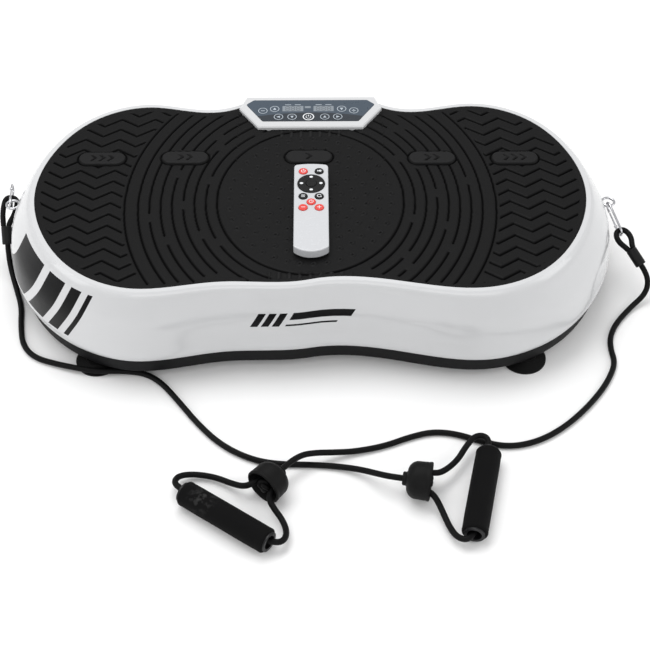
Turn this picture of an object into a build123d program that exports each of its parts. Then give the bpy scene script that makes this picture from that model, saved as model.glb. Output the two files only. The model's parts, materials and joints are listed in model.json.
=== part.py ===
from build123d import *
import math
import os

# Vibration plate: a rocking deck on a low base, driven by a motor, belt, crank and rod, with a remote
# control on the mat and two pull cords with foam handles. Millimetres. The origin is on the floor under
# the middle of the plate, +X to the right, +Y to the panel side, +Z up.

os.makedirs("parts", exist_ok=True)

# ---------------------------------------------------------------- driving dimensions
PLATE_LENGTH = 774.0        # over both end bulges
PLATE_HEIGHT = 135.0        # floor to the top of the mat
LAID_LENGTH = 774.0         # plate length the places below are given for
STRETCH = PLATE_LENGTH / LAID_LENGTH
LOBE_X = 215.0 * STRETCH    # middle of each foot lobe
LOBE_FRONT = 180.0          # rim edge at the front of a lobe
LOBE_REAR = 183.0
WAIST_FRONT = 166.0         # rim edge between the lobes
WAIST_REAR = 171.0
WAIST_REAR_X = 132.0 * STRETCH
BACK_Y = 196.0              # straight rim edge behind the panel
BACK_HALF = 74.0
FRONT_FULLNESS = 0.965      # how nearly the shoulders fill their ellipse
REAR_FULLNESS = 1.0

WAIST_FLARE = 13.0          # how far the wall stands out from the rim at the bulge
LOBE_FLARE = 21.0
END_FLARE = 32.0
REAR_FLARE = 14.0
BACK_FLARE = 8.0

SKIRT_Z = 37.0              # lower edge of the shell
BULGE_Z = 50.0
SHELL_WALL = 3.5
SKIN = 3.0                  # shell skin under the mat
MAT_THICKNESS = 4.0
MAT_GAP = 0.4
RIM_DROP = 1.0              # mat top above the rim
RIM_WIDTH = 8.5
SKIRT_SHARE = 0.90
SHELL_PROFILE = [(0.0, 1.0), (0.36, 0.88), (0.66, 0.56), (0.86, 0.24), (0.96, 0.05)]
RIM_ROUND = 2.5

HOUSING_RISE = 4.5          # panel housing above the rim
HOUSING_FRONT = (69.0, 126.0)
HOUSING_SIDE = (95.0, 166.0)
HOUSING_BACK = (86.0, 191.0)
OVERLAY_FRONT = (63.5, 137.5)
OVERLAY_SIDE = (86.0, 173.5)
OVERLAY_BACK = (76.0, 183.0)
OVERLAY_THICKNESS = 2.0
PANEL_BOARD = (1.6, 6.0)    # thickness, and its underside below the shell's skin
DISPLAY_DEPTH = 4.5
WINDOWS = [(-23.5, 164.8, 28.0, 12.0), (17.5, 164.8, 27.0, 12.0), (-3.6, 168.0, 8.0, 5.0)]

CORD_R = 3.6
LAID_CORD_R = 3.6           # cord radius the routes below are given for
PAN_Z = 2 * CORD_R + 4.8    # underside of the pan; a cord passes between it and a foot
PAN_WALL = 3.0
PAN_TOP = 48.0
PAN_GAP = 2.0               # between the pan and the skirt
STEEL = 3.0                 # base plate thickness
FOOT_X = 265.0 * STRETCH
FOOT_Y = 163.0
FOOT_R = 27.5
FOOT_NECK_R = 15.0
FOOT_CUP_R = 20.0           # suction cup mouth
SCREW_R = 2.5
SCREW_HEAD_R = 4.5
SINK = 2.0                  # deck screw heads below the mat

PIVOT_DROP = 35.0           # pivot axis below the mat top
PIVOT_R = 8.0
RUNNING = 0.05              # radial clearance of every running fit
BUSH_WALL = 2.0
EAR_Y = 105.0
EAR_THICKNESS = 8.0
EAR_WIDTH = 44.0
STAND_Y = 119.0
STAND_THICKNESS = 8.0
STAND_HALF = (38.0, 13.0)   # half width at the foot and at the shaft
STAND_FOOT = (90.0, 26.0, 4.0)
EYE_WALL = 7.0              # steel around a bore
DECK_PLATE = (560.0 * STRETCH, 240.0, 4.0)
DECK_SCREWS = (250.0 * STRETCH, 190.0, 3, 2)
ROCK_DEG = 1.0              # deck tilt each way

ROD_X = 150.0 * STRETCH     # crank axis from the pivot
CRANK_RISE = 38.0 * PLATE_HEIGHT / 135.0    # crank axis above the base plate
CRANK_R = 7.0
THROW = ROD_X * math.sin(math.radians(ROCK_DEG))
ECCENTRIC_R = 13.0
BIG_END_PLAY = 6.8          # the linkage is open here
ROD_PIN_DROP = 20.0         # rod pin below the deck plate
ROD_PIN_R = 5.0
ROD_THICKNESS = 10.0
ROD_NECK = 14.0
LUG = (22.0, 5.0)           # width and thickness of the lugs that hold the rod pin
LUG_GAP = 2.0
BEARING_Y = (-42.0, 42.0)
BEARING = (34.0, 12.0)      # width and thickness of a bearing block
BEARING_FOOT = (60.0, 14.0, 6.0)

MOTOR_X = 245.0 * STRETCH
MOTOR_R = CRANK_RISE - 4.0
MOTOR_WALL = 3.0
MOTOR_Y = (-55.0, 45.0)
SHAFT_R = 5.0
PULLEY_Y = -74.0
PULLEY_WIDTH = 14.0
DRIVEN_R = 26.0
DRIVER_R = 11.0
BELT_GAP = 0.4
BELT_THICKNESS = 2.5
BELT_WIDTH = 10.0
FLANGE = (2.5, 1.5)         # pulley flange height and thickness
CRADLE = (4.0, 26.0)        # motor cradle: more than the motor's width, and height

BOARD_X = -190.0 * STRETCH
BOARD = (120.0, 84.0, 1.6)
BOARD_RISE = 6.0            # board above the base plate
INLET_X = -32.0
SWITCH_X = 30.0
SOCKET = (26.0, 16.0)       # body of the inlet and of the switch
SOCKET_MOUTH = (22.0, 13.0)
SOCKET_FLANGE = (2.0, 18.0)
SOCKET_GAP = 0.4
PAD_Y = 187.0               # flat rear face that carries the inlet and the switch
ROCKER_DEG = 8.0

RING_X = 388.5 * STRETCH    # eye ring centre
RING_Y = 40.0
RING_Z = 80.0
RING_R = 8.0
RING_WIRE_R = 1.7
EYE_SHANK_R = 3.0
BRACKET_X = 350.0 * STRETCH
BRACKET = (44.0, 30.0, 4.0) # foot of the bracket
BRACKET_WALL = 5.0
NUT = (6.0, 4.0)            # radius and height
SLOT = (24.0, 20.0)         # opening in the shell around an eye bolt

HOOK_LENGTH = 50.0
HOOK_WIDTH = 17.0
HOOK_WIRE = 3.0
GATE_LENGTH = 20.0
GATE_PIN_R = 0.5
FERRULE_R = 2 * CORD_R - 0.2
FERRULE_LENGTH = 24.0
LEG_OFFSET = CORD_R + 0.05  # cord legs side by side in the ferrule
BELL_R = 22.5
BELL_LENGTH = 28.0
BELL_COLLAR = (8.0, 5.0)
BELL_WALL = 3.0
BELL_WEB = 12.0
KNOT_R = 6.5

GRIP_LENGTH = 122.0
FOAM_R = 15.0
TUBE_R = 10.5
TUBE_BORE_R = 8.5
LIP_R = 12.0
LIP = 2.0

REMOTE_X = 1.0
REMOTE_Y = (-123.0, 40.0)
REMOTE_WIDTH = 43.0
REMOTE_HEIGHT = 12.0
REMOTE_SPLIT = 5.0
REMOTE_WALL = 2.0
REMOTE_NEAR_ARC = 9.0
REMOTE_FAR_ARC = 2.5
KEY_R = 5.6
KEY_GAP = 0.35
KEY_RISE = 1.3
PAD_R = 17.2
PAD_HOLE_R = 6.9
KEY_FLANGE = 1.1
KEY_SIDE = KEY_R + 4.4      # key columns from the middle
KEY_NEAR = PAD_R + KEY_R + 1.2
KEY_STEP = KEY_R + 4.9      # from one row to the next
REMOTE_KEYS = {
    "remote_key_power": (-KEY_SIDE, KEY_NEAR),
    "remote_key_mute": (KEY_SIDE, KEY_NEAR),
    "remote_key_mode": (-KEY_SIDE, -KEY_NEAR),
    "remote_key_auto": (KEY_SIDE, -KEY_NEAR),
    "remote_key_timer": (0.0, -KEY_NEAR - KEY_STEP),
    "remote_key_slow": (-KEY_SIDE, -KEY_NEAR - 2 * KEY_STEP),
    "remote_key_fast": (KEY_SIDE, -KEY_NEAR - 2 * KEY_STEP),
}

# Cord routes, hand placed. The cords rest on the floor, pass the feet and rise to the bells.
LEFT_CORD = [
    (-397, 8, 39), (-396, -3, 27), (-392, -18, 15), (-384, -40, 6), (-373, -72, 3.6), (-369, -108, 3.6),
    (-362, -140, 3.6), (-345, -161, 3.6), (-319, -172, 4.5), (-292, -182, 7.5), (-264, -189, 8),
    (-234, -187, 6.5), (-206, -188, 3.6), (-184, -203, 3.6), (-160, -235, 3.6), (-134, -272, 3.6),
    (-106, -303, 3.6), (-72, -324, 3.6), (-40, -332, 3.6), (4, -333, 3.6), (36, -337, 4.5),
    (58, -345, 9), (75, -356, 16), (90, -365.6, 22.5), (104, -368, 22.5),
]
RIGHT_CORD = [
    (425, -40, 42), (431.5, -48.5, 35.5), (434.5, -57, 23), (429, -65, 11), (412, -78, 4.5), (388, -107, 3.6),
    (377, -131, 3.6), (375, -152, 3.6), (377, -172, 3.6), (371, -191, 3.6), (356, -218, 3.6),
    (329, -252, 3.6), (296, -283, 3.6), (263, -302, 3.6), (230, -308, 3.6), (199, -299, 3.6),
    (173, -288, 3.6), (145, -284, 3.6), (117, -292, 3.6), (86, -306, 3.6), (50, -315, 5),
    (25, -320, 10), (5, -326, 17), (-11, -333, 22), (-25.7, -345, 22.5), (-34, -355, 22.5),
]
LEFT_LOOP = [
    (-52.7, -362.5, 23), (-64.3, -372.7, 22), (-76, -374, 16), (-91, -364, 9), (-110, -353, 6.5),
    (-131, -348.5, 6.5), (-147, -351, 9), (-155, -358, 12), (-155.5, -368, 14.5), (-148.2, -375.1, 15),
    (-132.2, -392.4, 15), (-112.2, -402.2, 15), (-77.9, -426.4, 15), (-62.1, -442.3, 15),
    (-40.3, -450.3, 15), (-31.5, -448, 13.5), (-27.5, -438.5, 11), (-28, -427, 9), (-33, -414, 9),
    (-41, -404, 13), (-47, -395, 18), (-46, -387, 22), (-38, -374.6, 23),
]
RIGHT_LOOP = [
    (123.8, -362.4, 24), (138.5, -361.8, 24), (147, -359.5, 21), (158, -350, 18), (170, -336, 16.5),
    (180, -318, 17), (191, -303.5, 18), (201.5, -302, 18), (207.5, -308, 17), (206.1, -317.7, 15.5),
    (205.4, -341.1, 15), (199, -363, 15), (190, -399, 15), (187, -425.1, 15), (176.2, -445.7, 15),
    (167, -446, 12.5), (159.5, -437.5, 9.5), (154, -424, 7.5), (149, -408, 8), (144, -396, 12),
    (139, -389, 17), (133, -385, 20), (120.8, -380.3, 21),
]
# Start point and direction of each handle. Hooks (both ends) and eye tips are given from the ring centre.
LEFT_GRIP = ((-145.5, -380, 15), (0.8177, -0.5752, 0))
RIGHT_GRIP = ((207, -323, 15), (-0.2205, -0.9754, 0))
RIGHT_HOOK = ((-2, -1.5, 1), (14.5, -44, -19.7))
LEFT_HOOK = ((-2.5, -4.5, 0), (-7.5, 44, -7))
RIGHT_EYE = ((11.8, -37.2, -16.4), [(0.42, 8.8), (0.8, 8.0), (1.0, 3.6)])
LEFT_EYE = ((-4.0, 17, -3), [(0.4, 8.0), (1.0, 8.6)])

# ---------------------------------------------------------------- derived values
ON_BASE = (Align.CENTER, Align.CENTER, Align.MIN)
BEHIND = (Align.CENTER, Align.MAX, Align.CENTER)
BEFORE = (Align.CENTER, Align.MIN, Align.CENTER)
BELOW = (Align.CENTER, Align.CENTER, Align.MAX)
RIM_Z = PLATE_HEIGHT - RIM_DROP
MAT_Z = PLATE_HEIGHT - MAT_THICKNESS
SKIN_Z = MAT_Z - SKIN
HOUSING_Z = RIM_Z + HOUSING_RISE
PIVOT_Z = PLATE_HEIGHT - PIVOT_DROP
DECK_Z = SKIN_Z - DECK_PLATE[2]
ROD_PIN_Z = DECK_Z - ROD_PIN_DROP
FLOOR_Z = PAN_Z + PAN_WALL
PLATE_TOP = FLOOR_Z + STEEL
CRANK_Z = PLATE_TOP + CRANK_RISE
SOCKET_Z = FLOOR_Z + 9.5
PAN_INSET = SHELL_WALL + PAN_GAP
SCREW_HOLE_R = SCREW_R + 0.1
BUSH_R = PIVOT_R + RUNNING + BUSH_WALL
FOOT_PLACES = [(x, y) for x in (FOOT_X, -FOOT_X) for y in (-FOOT_Y, FOOT_Y)]


# ---------------------------------------------------------------- helpers
def write(piece, name):
    """Label one finished piece and write it."""
    piece.part.label = name
    export_step(piece.part, f"parts/{name}.step")


def half_rim():
    """Rim edge of the right half from front middle to rear middle: x, y and flare."""
    reach = PLATE_LENGTH / 2 - END_FLARE - LOBE_X
    points = [(0.0, -WAIST_FRONT, WAIST_FLARE), (LOBE_X * 0.5, -WAIST_FRONT - 3.5, WAIST_FLARE + 3)]
    points.append((LOBE_X, -LOBE_FRONT, LOBE_FLARE))
    for side, lobe_y, fullness, flare, angles in (
        (-1, LOBE_FRONT, FRONT_FULLNESS, LOBE_FLARE, (60, 30)),
        (1, LOBE_REAR, REAR_FULLNESS, REAR_FLARE, (0, 30, 60)),
    ):
        for angle in angles:
            t = math.radians(angle)
            full = fullness if angle else 1.0
            x = LOBE_X + reach * full * math.cos(t)
            out = flare + (END_FLARE - flare) * math.cos(t) ** 2
            points.append((x, side * lobe_y * full * math.sin(t), out))
    points.append((LOBE_X, LOBE_REAR, REAR_FLARE))
    points.append((WAIST_REAR_X, WAIST_REAR, BACK_FLARE + 2))
    points.append((BACK_HALF + 20, (WAIST_REAR + BACK_Y) / 2 - 1, BACK_FLARE))
    points.append((BACK_HALF, BACK_Y - 2, BACK_FLARE))
    points.append((BACK_HALF * 0.5, BACK_Y, BACK_FLARE))
    return points


def outline(share, grow):
    """Closed outline: the rim edge moved out by grow plus a share of the local flare."""
    right = half_rim()
    left = [(-x, y, flare) for x, y, flare in reversed(right) if x > 0]
    rim = right + left
    moved = []
    for i, (x, y, flare) in enumerate(rim):
        ahead, behind = rim[(i + 1) % len(rim)], rim[i - 1]
        dx, dy = ahead[0] - behind[0], ahead[1] - behind[1]
        out = (grow + share * flare) / math.hypot(dx, dy)
        moved.append((x + out * dy, y - out * dx))
    return moved


def outline_face(z, share, grow):
    """The outline as a face at height z."""
    with BuildSketch(Plane.XY.offset(z)) as face:
        with BuildLine():
            Spline(*outline(share, grow), periodic=True)
        make_face()
    return face.sketch


def share_at(z):
    """Share of the flare at height z on the wall."""
    levels = [(BULGE_Z + f * (RIM_Z - BULGE_Z), share) for f, share in SHELL_PROFILE]
    for (low, low_share), (high, high_share) in zip(levels, levels[1:]):
        if z <= high:
            return low_share + (high_share - low_share) * max(z - low, 0) / (high - low)
    return levels[-1][1]


def mirrored(points):
    """A polygon from its right-hand points, front to back."""
    return points + [(-x, y) for x, y in reversed(points)]


def mat_face(z, gap):
    """The mat outline, grown by gap, with the notch for the panel housing."""
    back = BACK_Y + 60
    with BuildSketch(Plane.XY.offset(z)) as face:
        with BuildLine():
            Spline(*outline(0, gap - RIM_WIDTH), periodic=True)
        make_face()
        with BuildLine():
            side = HOUSING_SIDE[0] - gap
            notch = [(HOUSING_FRONT[0] - gap, HOUSING_FRONT[1] + gap), (side, HOUSING_SIDE[1]), (side, back)]
            Polyline(*mirrored(notch), close=True)
        make_face(mode=Mode.SUBTRACT)
    return face.sketch


def overlay_face(z, gap):
    """The six-sided control overlay, grown by gap."""
    with BuildSketch(Plane.XY.offset(z)) as face:
        with BuildLine():
            Polyline(*mirrored([OVERLAY_FRONT, OVERLAY_SIDE, OVERLAY_BACK]), close=True)
        make_face()
        fillet(face.vertices(), 3)
        if gap:
            offset(amount=gap)
    return face.sketch


def tube_path(route):
    """Corner radii of a route: 0.45 of the shorter run over the tangent of half the turn."""
    points = [Vector(*p) for p in route]
    radii = []
    for before, here, after in zip(points, points[1:], points[2:]):
        first, second = here - before, after - here
        half_turn = math.radians(first.get_angle(second)) / 2
        radii.append(0.45 * min(first.length, second.length) / math.tan(half_turn))
    return radii


def cord(route, name):
    """A cord tube along its route, printed with its tightest radii and its length."""
    radii = tube_path(route)
    with BuildPart() as tube:
        with BuildLine():
            path = FilletPolyline(*route, radius=radii)
        with BuildSketch(Plane(origin=path @ 0, z_dir=path % 0)):
            Circle(CORD_R)
        sweep()
    length = path.length
    ideal = math.pi * CORD_R ** 2 * length
    print(f"{name}: length {length:.0f} mm, volume ratio {tube.part.volume / ideal:.4f}, radii",
          " ".join(f"{r:.0f}" for r in radii))
    write(tube, name)


def laid(route):
    """A long cord's route, moved with the plate's end and with the cord's own radius."""
    moved = []
    for x, y, z in route:
        share = min(max((abs(x) - 150) / 60, 0), 1)
        rise = CORD_R - LAID_CORD_R if z < 20 else 0
        moved.append((x * (1 + share * (STRETCH - 1)), y, z + rise))
    return moved


def from_ring(side, offset):
    """A point given from the centre of one eye ring."""
    return Vector(side * RING_X, RING_Y, RING_Z) + Vector(*offset)


def ring_profile(inner, outer):
    """Two circles, one inside the other, in the current sketch."""
    Circle(outer)
    Circle(inner, mode=Mode.SUBTRACT)


# ---------------------------------------------------------------- upper shell
with BuildPart() as panel_housing:
    with BuildSketch(Plane.XY.offset(MAT_Z - 1)):
        with BuildLine():
            Polyline(*mirrored([HOUSING_FRONT, HOUSING_SIDE, HOUSING_BACK]), close=True)
        make_face()
    extrude(amount=HOUSING_Z - MAT_Z + 1)
    chamfer(panel_housing.edges().group_by(Axis.Z)[-1], 1.5)

with BuildPart() as upper_shell:
    wall_levels = [BULGE_Z + f * (RIM_Z - BULGE_Z) for f, _ in SHELL_PROFILE]
    outer = [outline_face(SKIRT_Z, SKIRT_SHARE, 0)]
    outer += [outline_face(z, share_at(z), 0) for z in wall_levels]
    outer.append(outline_face(RIM_Z, 0, -RIM_ROUND))
    loft(outer)
    inner_levels = [z for z in wall_levels if z < SKIN_Z - 4] + [SKIN_Z]
    inner = [outline_face(SKIRT_Z - 6, SKIRT_SHARE, -SHELL_WALL)]
    inner += [outline_face(z, share_at(z), -SHELL_WALL) for z in inner_levels]
    loft(inner, mode=Mode.SUBTRACT)
    extrude(mat_face(MAT_Z, MAT_GAP), amount=20, mode=Mode.SUBTRACT)
    add(panel_housing.part)
    extrude(overlay_face(HOUSING_Z - OVERLAY_THICKNESS, 0.2), amount=20, mode=Mode.SUBTRACT)
    with Locations((0, RING_Y, RING_Z)):
        Box(PLATE_LENGTH + 60, SLOT[0], SLOT[1], mode=Mode.SUBTRACT)
    for radius, depth in ((SCREW_HEAD_R + 0.1, SINK), (SCREW_HOLE_R, SKIN + 2)):
        with BuildSketch(Plane.XY.offset(MAT_Z)):
            with GridLocations(*DECK_SCREWS):
                Circle(radius)
        extrude(amount=-depth, mode=Mode.SUBTRACT)
write(upper_shell, "upper_shell")

with BuildPart() as rubber_mat:
    extrude(mat_face(MAT_Z, 0), amount=MAT_THICKNESS)
write(rubber_mat, "rubber_mat")

with BuildPart() as panel_overlay:
    extrude(overlay_face(HOUSING_Z - OVERLAY_THICKNESS, 0), amount=OVERLAY_THICKNESS + 0.3)
    for x, y, width, height in WINDOWS:
        with Locations((x, y, HOUSING_Z)):
            Box(width, height, 20, mode=Mode.SUBTRACT)
write(panel_overlay, "panel_overlay")

with BuildPart() as display_windows:
    for x, y, width, height in WINDOWS:
        with Locations((x, y, HOUSING_Z - OVERLAY_THICKNESS / 2)):
            Box(width, height, OVERLAY_THICKNESS)
write(display_windows, "display_windows")

with BuildPart() as panel_board:
    board_thickness, board_drop = PANEL_BOARD
    with BuildSketch(Plane.XY.offset(SKIN_Z - board_drop)):
        with Locations((0, (OVERLAY_FRONT[1] + OVERLAY_BACK[1]) / 2 + 2)):
            Rectangle(2 * OVERLAY_FRONT[0] - 6, OVERLAY_BACK[1] - OVERLAY_FRONT[1] - 6)
    extrude(amount=board_thickness)
    with BuildSketch(Plane.XY.offset(SKIN_Z - DISPLAY_DEPTH)):
        for x, y, width, height in WINDOWS[:2]:
            with Locations((x, y)):
                Rectangle(width - 1, height)
    extrude(amount=DISPLAY_DEPTH)
write(panel_board, "panel_board")

# ---------------------------------------------------------------- deck frame
lug_y = ROD_THICKNESS / 2 + LUG_GAP + LUG[1] / 2
with BuildPart() as deck_frame:
    with BuildSketch(Plane.XY.offset(DECK_Z)):
        RectangleRounded(DECK_PLATE[0], DECK_PLATE[1], 20)
        with GridLocations(*DECK_SCREWS):
            Circle(SCREW_HOLE_R, mode=Mode.SUBTRACT)
    extrude(amount=DECK_PLATE[2])
    for side in (-1, 1):
        with BuildSketch(Plane.XZ.offset(side * EAR_Y)):
            with Locations((0, (DECK_Z + PIVOT_Z) / 2)):
                Rectangle(EAR_WIDTH, DECK_Z - PIVOT_Z)
            with Locations((0, PIVOT_Z)):
                Circle(BUSH_R + EYE_WALL)
                Circle(BUSH_R, mode=Mode.SUBTRACT)
        extrude(amount=EAR_THICKNESS / 2, both=True)
        with BuildSketch(Plane.XZ.offset(side * lug_y)):
            with Locations((ROD_X, (DECK_Z + ROD_PIN_Z) / 2)):
                Rectangle(LUG[0], DECK_Z - ROD_PIN_Z)
            with Locations((ROD_X, ROD_PIN_Z)):
                Circle(LUG[0] / 2)
                Circle(ROD_PIN_R, mode=Mode.SUBTRACT)
        extrude(amount=LUG[1] / 2, both=True)
write(deck_frame, "deck_frame")

with BuildPart() as deck_bushes:
    for side in (-1, 1):
        with BuildSketch(Plane.XZ.offset(side * EAR_Y)):
            with Locations((0, PIVOT_Z)):
                ring_profile(PIVOT_R + RUNNING, BUSH_R)
        extrude(amount=EAR_THICKNESS / 2 + 1.5, both=True)
write(deck_bushes, "deck_bushes")

with BuildPart() as rod_pin:
    with Locations((ROD_X, 0, ROD_PIN_Z)):
        Cylinder(ROD_PIN_R, 2 * lug_y + 9, rotation=(90, 0, 0))
write(rod_pin, "rod_pin")

with BuildPart() as deck_screws:
    with GridLocations(*DECK_SCREWS):
        with Locations((0, 0, MAT_Z - SINK)):
            Cylinder(SCREW_HEAD_R, SINK - 0.2, align=ON_BASE)
            Cylinder(SCREW_R, 12, align=BELOW)
write(deck_screws, "deck_screws")

# ---------------------------------------------------------------- base
with BuildPart() as base_pan:
    extrude(outline_face(PAN_Z, SKIRT_SHARE, -PAN_INSET), amount=PAN_TOP - PAN_Z)
    fillet(base_pan.edges().group_by(Axis.Z)[0], 2.5)
    extrude(outline_face(FLOOR_Z, SKIRT_SHARE, -PAN_INSET - PAN_WALL), amount=PAN_TOP, mode=Mode.SUBTRACT)
    with Locations((0, PAD_Y - PAN_WALL, FLOOR_Z)):
        Box(2 * BACK_HALF - 4, 2 * PAN_WALL, PAN_TOP - FLOOR_Z, align=ON_BASE)
    with Locations((0, PAD_Y, FLOOR_Z)):
        Box(2 * BACK_HALF - 10, 40, 60, align=(Align.CENTER, Align.MIN, Align.MIN), mode=Mode.SUBTRACT)
    with Locations((INLET_X, PAD_Y, SOCKET_Z), (SWITCH_X, PAD_Y, SOCKET_Z)):
        Box(SOCKET[0] + SOCKET_GAP, 30, SOCKET[1] + SOCKET_GAP, mode=Mode.SUBTRACT)
    with BuildSketch(Plane.XY.offset(PAN_Z - 1)):
        with Locations(*FOOT_PLACES):
            Circle(SCREW_HOLE_R)
    extrude(amount=PAN_WALL + 2, mode=Mode.SUBTRACT)
write(base_pan, "base_pan")

with BuildPart() as base_plate:
    with BuildSketch(Plane.XY.offset(FLOOR_Z)):
        RectangleRounded(DECK_PLATE[0], 2 * STAND_Y + 40, 12)
        Rectangle(2 * (BRACKET_X + 4), 110)
    extrude(amount=STEEL)
write(base_plate, "base_plate")

with BuildPart() as rubber_feet:
    for x, y in FOOT_PLACES:
        with BuildSketch(Plane(origin=(x, y, 0), x_dir=(1, 0, 0), z_dir=(0, -1, 0))):
            with BuildLine():
                Polyline((FOOT_CUP_R, 0), (FOOT_R, 0), (FOOT_R, 2), (FOOT_NECK_R, 7), (FOOT_NECK_R, PAN_Z),
                         (SCREW_R, PAN_Z), (SCREW_R, 2.5), (12, 2.5), close=True)
            make_face()
        revolve(axis=Axis((x, y, 0), (0, 0, 1)))
write(rubber_feet, "rubber_feet")

with BuildPart() as foot_screws:
    for x, y in FOOT_PLACES:
        with Locations((x, y, FLOOR_Z)):
            Cylinder(SCREW_HEAD_R, 2.4, align=ON_BASE)
            Cylinder(SCREW_R, FLOOR_Z - 5, align=BELOW)
write(foot_screws, "foot_screws")

with BuildPart() as pivot_stands:
    for side in (-1, 1):
        with BuildSketch(Plane.XZ.offset(side * STAND_Y)):
            with BuildLine():
                Polyline((-STAND_HALF[0], PLATE_TOP), (STAND_HALF[0], PLATE_TOP), (STAND_HALF[1], PIVOT_Z),
                         (-STAND_HALF[1], PIVOT_Z), close=True)
            make_face()
            with Locations((0, PIVOT_Z)):
                Circle(PIVOT_R + EYE_WALL)
                Circle(PIVOT_R, mode=Mode.SUBTRACT)
        extrude(amount=STAND_THICKNESS / 2, both=True)
        with Locations((0, side * (STAND_Y - 1), PLATE_TOP)):
            Box(*STAND_FOOT, align=ON_BASE)
write(pivot_stands, "pivot_stands")

with BuildPart() as pivot_shaft:
    with Locations((0, 0, PIVOT_Z)):
        Cylinder(PIVOT_R, 2 * STAND_Y + STAND_THICKNESS + 4, rotation=(90, 0, 0))
    chamfer(pivot_shaft.edges().filter_by(GeomType.CIRCLE), 1)
write(pivot_shaft, "pivot_shaft")

# ---------------------------------------------------------------- motor, belt, crank and rod
MOTOR_MID = sum(MOTOR_Y) / 2
MOTOR_LONG = MOTOR_Y[1] - MOTOR_Y[0]
with BuildPart() as motor_housing:
    with Locations((MOTOR_X, MOTOR_MID, CRANK_Z)):
        Cylinder(MOTOR_R, MOTOR_LONG, rotation=(90, 0, 0))
        Cylinder(MOTOR_R - MOTOR_WALL, MOTOR_LONG - 8, rotation=(90, 0, 0), mode=Mode.SUBTRACT)
        Cylinder(SHAFT_R + RUNNING, MOTOR_LONG + 2, rotation=(90, 0, 0), mode=Mode.SUBTRACT)
    for end in (-1, 1):
        with BuildSketch(Plane.XZ.offset(-MOTOR_MID - end * (MOTOR_LONG / 2 - 4))):
            with Locations((MOTOR_X, CRANK_Z)):
                with PolarLocations(MOTOR_R * 0.62, 6):
                    Circle(4)
        extrude(amount=5, both=True, mode=Mode.SUBTRACT)
write(motor_housing, "motor_housing")

with BuildPart() as motor_bracket:
    with Locations((MOTOR_X, MOTOR_MID, PLATE_TOP)):
        Box(2 * MOTOR_R + CRADLE[0], MOTOR_LONG - 30, CRADLE[1], align=ON_BASE)
        Box(2 * MOTOR_R + 34, MOTOR_LONG - 40, 4, align=ON_BASE)
    with Locations((MOTOR_X, MOTOR_MID, CRANK_Z)):
        Cylinder(MOTOR_R, MOTOR_LONG, rotation=(90, 0, 0), mode=Mode.SUBTRACT)
write(motor_bracket, "motor_bracket")

with BuildPart() as motor_rotor:
    with Locations((MOTOR_X, MOTOR_MID, CRANK_Z)):
        Cylinder(MOTOR_R - 2 * MOTOR_WALL, MOTOR_LONG - 30, rotation=(90, 0, 0))
    with Locations((MOTOR_X, (PULLEY_Y - PULLEY_WIDTH / 2 - 2 + MOTOR_Y[1] + 3) / 2, CRANK_Z)):
        Cylinder(SHAFT_R, MOTOR_Y[1] + 3 - PULLEY_Y + PULLEY_WIDTH / 2 + 2, rotation=(90, 0, 0))
write(motor_rotor, "motor_rotor")


def pulley(x, radius, bore, holes):
    """A flat belt pulley with two flanges on an axis along Y."""
    with BuildPart() as wheel:
        with Locations((x, PULLEY_Y, CRANK_Z)):
            Cylinder(radius, PULLEY_WIDTH, rotation=(90, 0, 0))
        for end in (-1, 1):
            with Locations((x, PULLEY_Y + end * (PULLEY_WIDTH - FLANGE[1]) / 2, CRANK_Z)):
                Cylinder(radius + FLANGE[0], FLANGE[1], rotation=(90, 0, 0))
        with Locations((x, PULLEY_Y, CRANK_Z)):
            Cylinder(bore, PULLEY_WIDTH + 2, rotation=(90, 0, 0), mode=Mode.SUBTRACT)
        if holes:
            with BuildSketch(Plane.XZ.offset(-PULLEY_Y)):
                with Locations((x, CRANK_Z)):
                    with PolarLocations((radius + bore) / 2, holes):
                        Circle((radius - bore) / 2 - 4)
            extrude(amount=PULLEY_WIDTH, both=True, mode=Mode.SUBTRACT)
    return wheel


driven_pulley = pulley(ROD_X, DRIVEN_R, CRANK_R, 5)
write(driven_pulley, "driven_pulley")
motor_pulley = pulley(MOTOR_X, DRIVER_R, SHAFT_R, 0)
write(motor_pulley, "motor_pulley")


def belt_loop(extra):
    """Outline of the belt grown by extra: two circles joined by their outer tangents."""
    big, small, span = DRIVEN_R + extra, DRIVER_R + extra, MOTOR_X - ROD_X
    lean = math.acos((big - small) / span)
    dx, dz = math.cos(lean), math.sin(lean)
    with BuildSketch(Plane.XZ.offset(-PULLEY_Y)) as face:
        with Locations((ROD_X, CRANK_Z)):
            Circle(big)
        with Locations((MOTOR_X, CRANK_Z)):
            Circle(small)
        with BuildLine():
            Polyline((ROD_X + big * dx, CRANK_Z - big * dz), (MOTOR_X + small * dx, CRANK_Z - small * dz),
                     (MOTOR_X + small * dx, CRANK_Z + small * dz), (ROD_X + big * dx, CRANK_Z + big * dz),
                     close=True)
        make_face()
    return face.sketch


with BuildPart() as drive_belt:
    extrude(belt_loop(BELT_GAP + BELT_THICKNESS), amount=BELT_WIDTH / 2, both=True)
    extrude(belt_loop(BELT_GAP), amount=BELT_WIDTH, both=True, mode=Mode.SUBTRACT)
write(drive_belt, "drive_belt")

with BuildPart() as crank_bearings:
    for y in BEARING_Y:
        with Locations((ROD_X, y, PLATE_TOP)):
            Box(*BEARING_FOOT, align=ON_BASE)
            Box(*BEARING, CRANK_Z - PLATE_TOP, align=ON_BASE)
        with Locations((ROD_X, y, CRANK_Z)):
            Cylinder(BEARING[0] / 2, BEARING[1], rotation=(90, 0, 0))
            Cylinder(CRANK_R + RUNNING, 20, rotation=(90, 0, 0), mode=Mode.SUBTRACT)
write(crank_bearings, "crank_bearings")

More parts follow.
